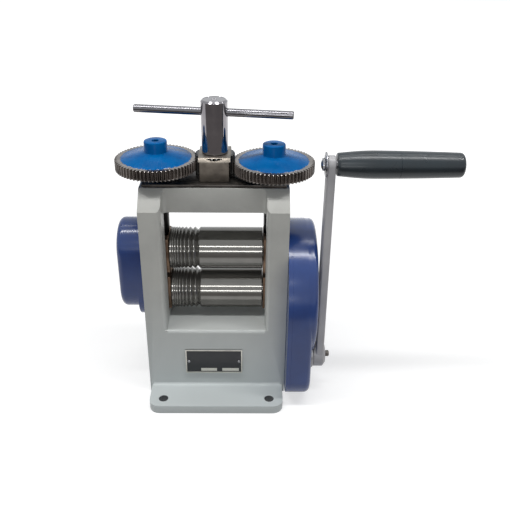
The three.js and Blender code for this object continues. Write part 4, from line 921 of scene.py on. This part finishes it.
# Crank
def make_crank():
    low, high = corners("crank_arm")
    arm_x = low.x + ARM_SET
    bar = [(CRANK_Y, CRANK_Z, ARM_WIDE_R), (CRANK_Y, GRIP_Z, ARM_NARROW_R)]
    arm = prism("crank_arm_paint", hull(bar, 6), "X", arm_x, arm_x + ARM_T)
    soften(arm, 1.6, 3)
    hub = [(0, low.x), (14.6, low.x), (15.4, low.x + 0.8), (15.4, high.x - 3.5), (14.9, high.x - 2.9),
           (11.4, high.x - 0.3), (10.9, high.x), (0, high.x)]
    join(arm, revolve("hub", hub, "X", CRANK_AT))
    cut(arm, rod("bore", 8.3, "X", low.x - 1, high.x + 1, CRANK_AT))
    cut(arm, rod("eye", EYE_R, "X", arm_x - 1, arm_x + ARM_T + 1, GRIP_AT))
    finish(arm, ARM_PAINT, "arm_paint", "crank", "crank_arm")

    low, high = corners("crank_bolt")
    r = (high.y - low.y) / 2
    bolt = [(0, low.x), (r, low.x), (r, high.x - 0.8), (r - 0.8, high.x), (0, high.x)]
    finish(revolve("crank_bolt_steel", bolt, "X", CRANK_AT, COARSE), DARK_STEEL,
           "dark_steel", "crank", "crank_bolt")

    shaft = [(0, shaft_low.x), (6, shaft_low.x), (6, 88.9), (8, 90.4), (8, shaft_high.x - 0.5),
             (7.5, shaft_high.x), (4.05, shaft_high.x), (4.05, shaft_high.x - 13), (0, shaft_high.x - 14)]
    finish(revolve("crank_shaft_turned", shaft, "X", CRANK_AT), MACHINED,
           "machined_steel", "crank", "crank_shaft")


def make_grip():
    end_x = grip_high.x - GRIP_SHORTER
    length = end_x - grip_low.x
    left = grip_low.x
    steps = 40
    end_r, most_r, far_r = GRIP_RADII
    profile = [(0, left + 100), (5.25, left + 100), (5.25, left), (end_r - 0.8, left)]
    barrel = length - GRIP_ROUND
    for i in range(steps + 1):
        t = i / steps
        rise = math.sin(min(t / GRIP_SWELL_AT, 1) * math.pi / 2)
        fall = max(0, (t - GRIP_SWELL_AT) / (1 - GRIP_SWELL_AT)) ** 1.6
        r = end_r + (most_r - end_r) * rise - (most_r - far_r) * fall
        x = left + 0.8 + (barrel - 0.8) * t
        if t <= GRIP_JOINT_AT < t + 1 / steps:
            profile += [(r, x), (r - 0.25, x + 0.2), (r - 0.25, x + 0.5), (r, x + 0.7)]
        else:
            profile.append((r, x))
    profile += arc((far_r - GRIP_ROUND, left + barrel), GRIP_ROUND, 0, 90, 8)[1:]
    profile += [(3, end_x), (2.4, end_x - 0.7), (0, end_x - 0.7)]
    finish(revolve("grip_moulding", profile, "X", GRIP_AT), GRIP,
           "grip_plastic", "grip", "handle_grip", sharp=40)

    axle = [(0, axle_low.x), (5, axle_low.x), (5, axle_high.x - 1), (4, axle_high.x), (0, axle_high.x)]
    finish(revolve("grip_axle_turned", axle, "X", GRIP_AT), MACHINED,
           "machined_steel", "crank", "grip_axle")
    low, high = corners("grip_washer")
    washer = rod("grip_washer_steel", (high.y - low.y) / 2, "X", low.x, high.x, GRIP_AT, FINE)
    soften(washer, 0.25, 2)
    cut(washer, rod("eye", EYE_R, "X", low.x - 1, high.x + 1, GRIP_AT))
    finish(washer, MACHINED, "machined_steel", "crank", "grip_washer")
    low, high = corners("grip_nut")
    nut = rod("grip_nut_steel", 7, "X", low.x + 1.5, high.x, GRIP_AT, 6)
    soften(nut, 0.4, 2)
    dome = [(0, low.x), (2.2, low.x + 0.15), (4, low.x + 0.6), (5.6, low.x + 1.5), (5.6, high.x - 1),
            (0, high.x - 1)]
    join(nut, revolve("dome", dome, "X", GRIP_AT, MIDDLE))
    cut(nut, rod("thread", EYE_R, "X", high.x - 3.3, high.x + 1, GRIP_AT))
    finish(nut, MACHINED, "machined_steel", "crank", "grip_nut")


# Gears
def gear_outline(teeth, turn, trim):
    """Outline of a spur gear with involute teeth. trim draws the tips in, for a chamfer."""
    pitch = 2 * math.pi / teeth
    pitch_r = teeth * ADJUST_MODULE / 2
    base_r = pitch_r * math.cos(PRESSURE_ANGLE)
    root_r = pitch_r - TOOTH_IN * ADJUST_MODULE
    out_r = pitch_r + TOOTH_OUT * ADJUST_MODULE - trim
    steps = 4

    def involute(r):
        if r <= base_r:
            return 0.0
        return math.sqrt((r / base_r) ** 2 - 1) - math.acos(base_r / r)

    points = []
    for tooth in range(teeth):
        centre = turn + tooth * pitch
        flanks = []
        for i in range(steps + 1):
            r = root_r + (out_r - root_r) * i / steps
            half = TOOTH_SHARE * pitch / 2 + involute(pitch_r) - involute(r)
            if i == 0:
                half += 0.18 * pitch / 2
            if i == steps:
                half -= 0.12 * ADJUST_MODULE / r
            flanks.append((r, half))
        points += [(r * math.cos(centre - h), r * math.sin(centre - h)) for r, h in flanks]
        points += [(r * math.cos(centre + h), r * math.sin(centre + h)) for r, h in reversed(flanks)]
    return points


def gear_blank(name, teeth, x, low, high, turn, chamfer):
    full, worn = [[(x + a, b) for a, b in gear_outline(teeth, turn, trim)] for trim in (0, chamfer)]
    rise = 0.84 * chamfer
    rings = [(worn, low), (full, low + rise), (full, high - rise), (worn, high)]
    return loft(name, rings, "Z")


def make_adjusting_gears():
    pitch = 2 * math.pi / ADJUST_TEETH
    for name, x, turn in (("left", -SCREW_X, pitch / 2), ("right", SCREW_X, math.pi + pitch / 2)):
        node = f"{name}_adjusting_gear"
        low, high = corners(node)
        top = low.z + 12
        gear = gear_blank(f"{node}_cut", ADJUST_TEETH, x, low.z, top, turn, TOOTH_CHAMFER)
        soft = 1.4
        web = [(0, top - 2), (WEB_R, top - 2), (WEB_R, top - 0.2), (WEB_R - 0.6, top + 0.3),
               (BOSS_R + 1.5, top + WEB_RISE - 0.2), (BOSS_R + 0.3, top + WEB_RISE + 0.5),
               (BOSS_R, top + WEB_RISE + 1.6),
               (BOSS_R, high.z - soft), (BOSS_R - 0.4, high.z - 0.4), (BOSS_R - soft, high.z),
               (4.4, high.z), (3.8, high.z - 0.6), (3.8, high.z - 9), (0, high.z - 9)]
        cut(gear, rod("web_room", WEB_R, "Z", top - 1, top + 1, (x, 0), FINE))
        join(gear, revolve("web", web, "Z", (x, 0)))
        hollow = [(0, low.z - 1), (WEB_R - 1, low.z - 1), (WEB_R - 2, low.z + 1.5), (18, low.z + 3),
                  (14, low.z + 3), (0, low.z + 3)]
        cut(gear, revolve("underside", hollow, "Z", (x, 0)))
        join(gear, rod("under_boss", BOSS_R, "Z", low.z, low.z + 4, (x, 0), FINE))
        cut(gear, rod("bore", SCREW_R + 0.3, "Z", low.z - 1, high.z - 12, (x, 0)))
        surface = gear_face(f"{name}_gear_paint", (x, 0, 0))
        finish(gear, surface, "gear_blue", f"{name}_adjuster", node, sharp=28)


def make_screws_and_nuts():
    """Lead screws with a real left-hand thread, in bronze nuts."""
    for name, x in (("left", -SCREW_X), ("right", SCREW_X)):
        node = f"{name}_lead_screw"
        low, high = corners(node)
        foot = [(COLLAR_R - 1, low.z), (COLLAR_R, low.z + 1), (COLLAR_R, COLLAR_TOP - 1),
                (COLLAR_R - 1, COLLAR_TOP)]
        screw = thread(f"{node}_thread", foot, SCREW_R, COLLAR_TOP, high.z, x)
        finish(screw, BLACK_STEEL, "dark_steel", f"{name}_adjuster", node, sharp=50)
        node = f"{name}_lead_nut"
        low, high = corners(node)
        rim = NUT_R + NUT_RIM
        under = high.z - NUT_RIM_T
        profile = [(0, low.z), (NUT_R - 0.4, low.z), (NUT_R, low.z + 0.4), (NUT_R, under), (rim, under),
                   (rim, high.z - 0.4), (rim - 0.4, high.z), (0, high.z)]
        nut = revolve(f"{node}_bronze", profile, "Z", (x, 0))
        cut(nut, rod("bore", SCREW_R + RUN, "Z", low.z - 1, high.z + 1, (x, 0)))
        finish(nut, BRONZE, "bronze", "frame", node)


def thread(name, foot, r, low, high, x):
    """A rod whose skin follows a helical V-thread, over a plain foot of (radius, height) rings."""
    around = 32
    per_pitch = 6
    rows = int((high - low) / THREAD_PITCH * per_pitch)
    levels = [([radius] * around, z) for radius, z in foot]
    for row in range(rows + 1):
        z = low + (high - low) * row / rows
        radii = []
        for i in range(around):
            phase = (z / THREAD_PITCH + i / around) % 1
            valley = 1 - abs(2 * phase - 1)
            radii.append(r - THREAD_DEPTH * min(1, 1.25 * valley))
        levels.append((radii, z))
    rings = [([(x, 0)], foot[0][1])]
    for radii, z in levels:
        points = []
        for i, radius in enumerate(radii):
            angle = 2 * math.pi * i / around
            points.append((x + radius * math.cos(angle), radius * math.sin(angle)))
        rings.append((points, z))
    rings.append(([(x, 0)], high))
    return loft(name, rings, "Z")


# Top plate, block, pinion and T-handle
def make_top():
    plate = block("top_plate_steel", plate_low, plate_high)
    soften(plate, 0.6, 2)
    for x in (-SCREW_X, SCREW_X):
        cut(plate, rod("screw_hole", SCREW_R + 0.8, "Z", plate_low.z - 1, plate_high.z + 1, (x, 0)))
    cut(plate, rod("stem_hole", STEM_R + RUN, "Z", plate_low.z - 1, plate_high.z + 1, (0, 0)))
    finish(plate, DARK_STEEL, "dark_steel", "frame", "top_plate")

    low, high = corners("pinion_block")
    edge = high.z - BLOCK_CHAMFER
    side = [(low.y, low.z), (high.y, low.z), (high.y, edge), (high.y - BLOCK_CHAMFER, high.z),
            (low.y + BLOCK_CHAMFER, high.z), (low.y, edge)]
    piece = prism("pinion_block_steel", side, "X", low.x, high.x)
    for start, end in ((low.x - 1, low.x + BLOCK_LIP), (high.x - BLOCK_LIP, high.x + 1)):
        cut(piece, block("side", (start, low.y - 1, low.z - 1), (end, high.y + 1, edge)))
    soften(piece, 0.45, 2)
    cut(piece, rod("bore", BLOCK_BORE_R, "Z", low.z - 1, high.z - BLOCK_ROOF, (0, 0), FINE))
    cut(piece, rod("neck_hole", NECK_R + RUN, "Z", low.z, high.z + 1, (0, 0), FINE))
    finish(piece, BLOCK_STEEL, "block_steel", "frame", "pinion_block")

    pinion_top = high.z - BLOCK_ROOF - 0.3
    low, high = corners("adjusting_pinion")
    pinion = gear_blank("adjusting_pinion_cut", PINION_TEETH, 0, low.z, pinion_top, 0, PINION_CHAMFER)
    cut(pinion, rod("bore", 8.3, "Z", low.z - 1, pinion_top + 1, (0, 0)))
    finish(pinion, PINION_STEEL, "dark_steel", "t_spindle", "adjusting_pinion", sharp=28)

    base = corners("pinion_block")[1].z + 0.3
    stem_top = pinion_top + 0.2
    top = hub_high.z
    hub = revolve("handle_hub_chrome", [
        (0, hub_low.z), (STEM_R - 0.4, hub_low.z), (STEM_R, hub_low.z + 0.4), (STEM_R, stem_top),
        (NECK_R, stem_top), (NECK_R, base),
        (HUB_R - 0.5, base), (HUB_R, base + 0.5), (HUB_R, top - 1.9), (HUB_R - 1.9, top), (HUB_R - 2.6, top),
        (HUB_R - 3.1, top - 0.35), (3.0, top - 0.35), (2.2, top - 0.9), (0, top - 2.4)], "Z", (0, 0))
    bar_z = middle("tommy_bar").z
    hole = rod("bar_hole", BAR_R + RUN, "X", -HUB_R - 2, HUB_R + 2, (0, bar_z))
    hole.data.transform(Matrix.Rotation(BAR_TURN, 4, "Z"))
    cut(hub, hole)
    soften(hub, 0.35, 2, 50)
    finish(hub, CHROME, "chrome", "t_spindle", "handle_hub", sharp=26)

    start = BAR_SHIFT - BAR_LENGTH / 2
    end = start + BAR_LENGTH
    angles = [0.4, 0.8, 1.2, math.pi / 2]
    profile = [(0, start), (2.6, start)]
    for at, way, turns in ((start, 1, angles), (end, -1, reversed(angles))):
        profile += [(BAR_R - BAR_ROUND + BAR_ROUND * math.sin(a), at + way * BAR_ROUND * (1 - math.cos(a)))
                    for a in turns]
    profile += [(2.6, end), (0, end)]
    bar = revolve("tommy_bar_chrome", profile, "X", (0, bar_z), MIDDLE)
    bar.data.transform(Matrix.Rotation(BAR_TURN, 4, "Z"))
    finish(bar, BAR_CHROME, "chrome", "tommy_bar", "tommy_bar")


# Nameplate: bare, with a bright border and two plain fields
def make_nameplate():
    low, high = corners("nameplate")
    plate = block("nameplate_black", low, high)
    soften(plate, 0.3, 2)
    finish(plate, PLATE_BLACK, "plate_black", "frame", "nameplate")
    face = low.y
    rim = block("nameplate_border", (low.x, face - 0.15, low.z), (high.x, face + 0.1, high.z))
    cut(rim, block("inside", (low.x + BORDER, face - 1, low.z + BORDER),
                   (high.x - BORDER, face + 1, high.z - BORDER)))
    finish(rim, PLATE_SILVER, "machined_steel", "frame")
    field_low = low.z + BORDER + FIELD_UP
    field_high = field_low + FIELD_HEIGHT
    for name, start, end in FIELDS:
        span = high.x - low.x
        field = block(f"nameplate_{name}_field", (low.x + span * start, face - 0.08, field_low),
                      (low.x + span * end, face + 0.1, field_high))
        finish(field, PLATE_SILVER, "machined_steel", "frame")
    for name in ("left", "right"):
        node = f"{name}_nameplate_rivet"
        low, high = corners(node)
        r = (high.x - low.x) / 2
        centre = middle(node).xz
        dome = [(0, low.y)]
        dome += [(r * math.sin(a), low.y + 0.9 * (1 - math.cos(a))) for a in (0.3, 0.6, 0.9, 1.2, 1.55)]
        dome += [(r * 0.45, low.y + 0.9), (r * 0.45, high.y), (0, high.y)]
        finish(revolve(f"{node}_head", dome, "Y", centre, COARSE), MACHINED, "machined_steel", "frame", node)


# Inner pieces keep the frame's own shape
def dress_inner_pieces():
    groups = [
        (DARK_STEEL, ["lower_sync_gear", "upper_sync_gear", "lower_sync_nut", "upper_sync_nut", "drive_gear",
                      "drive_gear_nut", "crank_pinion"]),
        (BRONZE, ["crank_inner_bush", "crank_outer_bush"]),
    ]
    for surface, nodes in groups:
        for node in nodes:
            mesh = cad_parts[node].data
            mesh.materials.clear()
            mesh.materials.append(surface.material)


make_frame()
make_rolls()
make_chocks()
make_springs()
make_left_cover()
make_gear_case()
make_screws()
make_crank()
make_grip()
make_adjusting_gears()
make_screws_and_nuts()
make_top()
make_nameplate()
dress_inner_pieces()


# Floor, world and lights
def make_floor():
    """A pale floor. Painted reflection: seen in metal, the floor in front of the mill is dark from 0.3 m
    out, while the camera sees it pale.
    """
    bm = bmesh.new()
    bmesh.ops.create_grid(bm, x_segments=1, y_segments=1, size=4000)
    floor = publish("floor", bm)
    surface = Surface("floor_white", (190, 190, 190), 0.9)
    surface.shader.inputs["Specular IOR Level"].default_value = 0.1
    split = surface.node("ShaderNodeSeparateXYZ")
    surface.links.new(surface.place, split.inputs["Vector"])
    # Painted reflection: the floor beyond this line is dark for glossy rays only.
    beyond = surface.spread(split.outputs["Y"], MIRRORED_DARK_FROM_Y - 0.06, MIRRORED_DARK_FROM_Y + 0.06, 1, 0)
    path = surface.node("ShaderNodeLightPath")
    painted_dark_reflection = surface.math("MULTIPLY", beyond, path.outputs["Is Glossy Ray"])
    surface.paint(painted_dark_reflection, (106, 98, 95))
    away = surface.spread(surface.radius((0, 0, 0), "Z"), 0.35, 1.1, FLOOR_SEEN, 0.95)
    seen = seen_by_eye(surface.tree, away)
    lit = surface.math("SUBTRACT", 1.0, surface.math("MULTIPLY", painted_dark_reflection, 0.84))
    surface.shader.inputs["Emission Color"].default_value = (1, 1, 1, 1)
    surface.links.new(surface.math("MULTIPLY", seen, lit), surface.shader.inputs["Emission Strength"])
    floor.data.materials.append(surface.material)


def make_world():
    world = bpy.data.worlds.new("studio")
    bpy.context.scene.world = world
    world.use_nodes = True
    tree = world.node_tree
    background = tree.nodes["Background"]
    background.inputs["Color"].default_value = WORLD_COLOUR
    strength = math_node(tree, "ADD", seen_by_eye(tree, 1.0 - WORLD_PLAIN), WORLD_PLAIN)
    tree.links.new(strength, background.inputs["Strength"])


def lamp(name, at, target, size, power):
    data = bpy.data.lights.new(name, "AREA")
    data.shape = "RECTANGLE"
    data.size, data.size_y = size
    data.energy = power
    obj = bpy.data.objects.new(name, data)
    bpy.context.scene.collection.objects.link(obj)
    obj.location = at
    obj.rotation_euler = (Vector(target) - Vector(at)).to_track_quat("-Z", "Y").to_euler()


def make_lights():
    """Two long tubes overhead, and two short strips that put the bright lines on the rolls."""
    for name, elevation, distance, size, power, x in LAMPS:
        angle = math.radians(elevation)
        at = (x, -distance * math.cos(angle), LIT_Z + distance * math.sin(angle))
        lamp(name, at, (x, 0.0, LIT_Z), size, power)


def make_camera():
    ahead = math.cos(CAMERA_DOWN)
    forward = Vector((math.sin(CAMERA_YAW) * ahead, math.cos(CAMERA_YAW) * ahead, -math.sin(CAMERA_DOWN)))
    level = Vector((math.cos(CAMERA_YAW), -math.sin(CAMERA_YAW), 0))
    upright = level.cross(forward)
    right = math.cos(CAMERA_ROLL) * level + math.sin(CAMERA_ROLL) * upright
    up = -math.sin(CAMERA_ROLL) * level + math.cos(CAMERA_ROLL) * upright
    data = bpy.data.cameras.new("camera")
    data.sensor_width = 36
    data.lens = FOCAL_PX / IMAGE_SIDE * data.sensor_width
    data.shift_x = (IMAGE_SIDE / 2 - CENTRE_PX[0]) / IMAGE_SIDE
    data.shift_y = (CENTRE_PX[1] - IMAGE_SIDE / 2) / IMAGE_SIDE
    data.clip_start = 0.01
    camera = bpy.data.objects.new("camera", data)
    bpy.context.scene.collection.objects.link(camera)
    rotation = Matrix((right, up, -forward)).transposed().to_4x4()
    camera.matrix_world = Matrix.Translation(CAMERA_AT) @ rotation
    bpy.context.scene.camera = camera


make_floor()
make_world()
make_lights()
make_camera()
bpy.context.scene.view_settings.view_transform = "Standard"
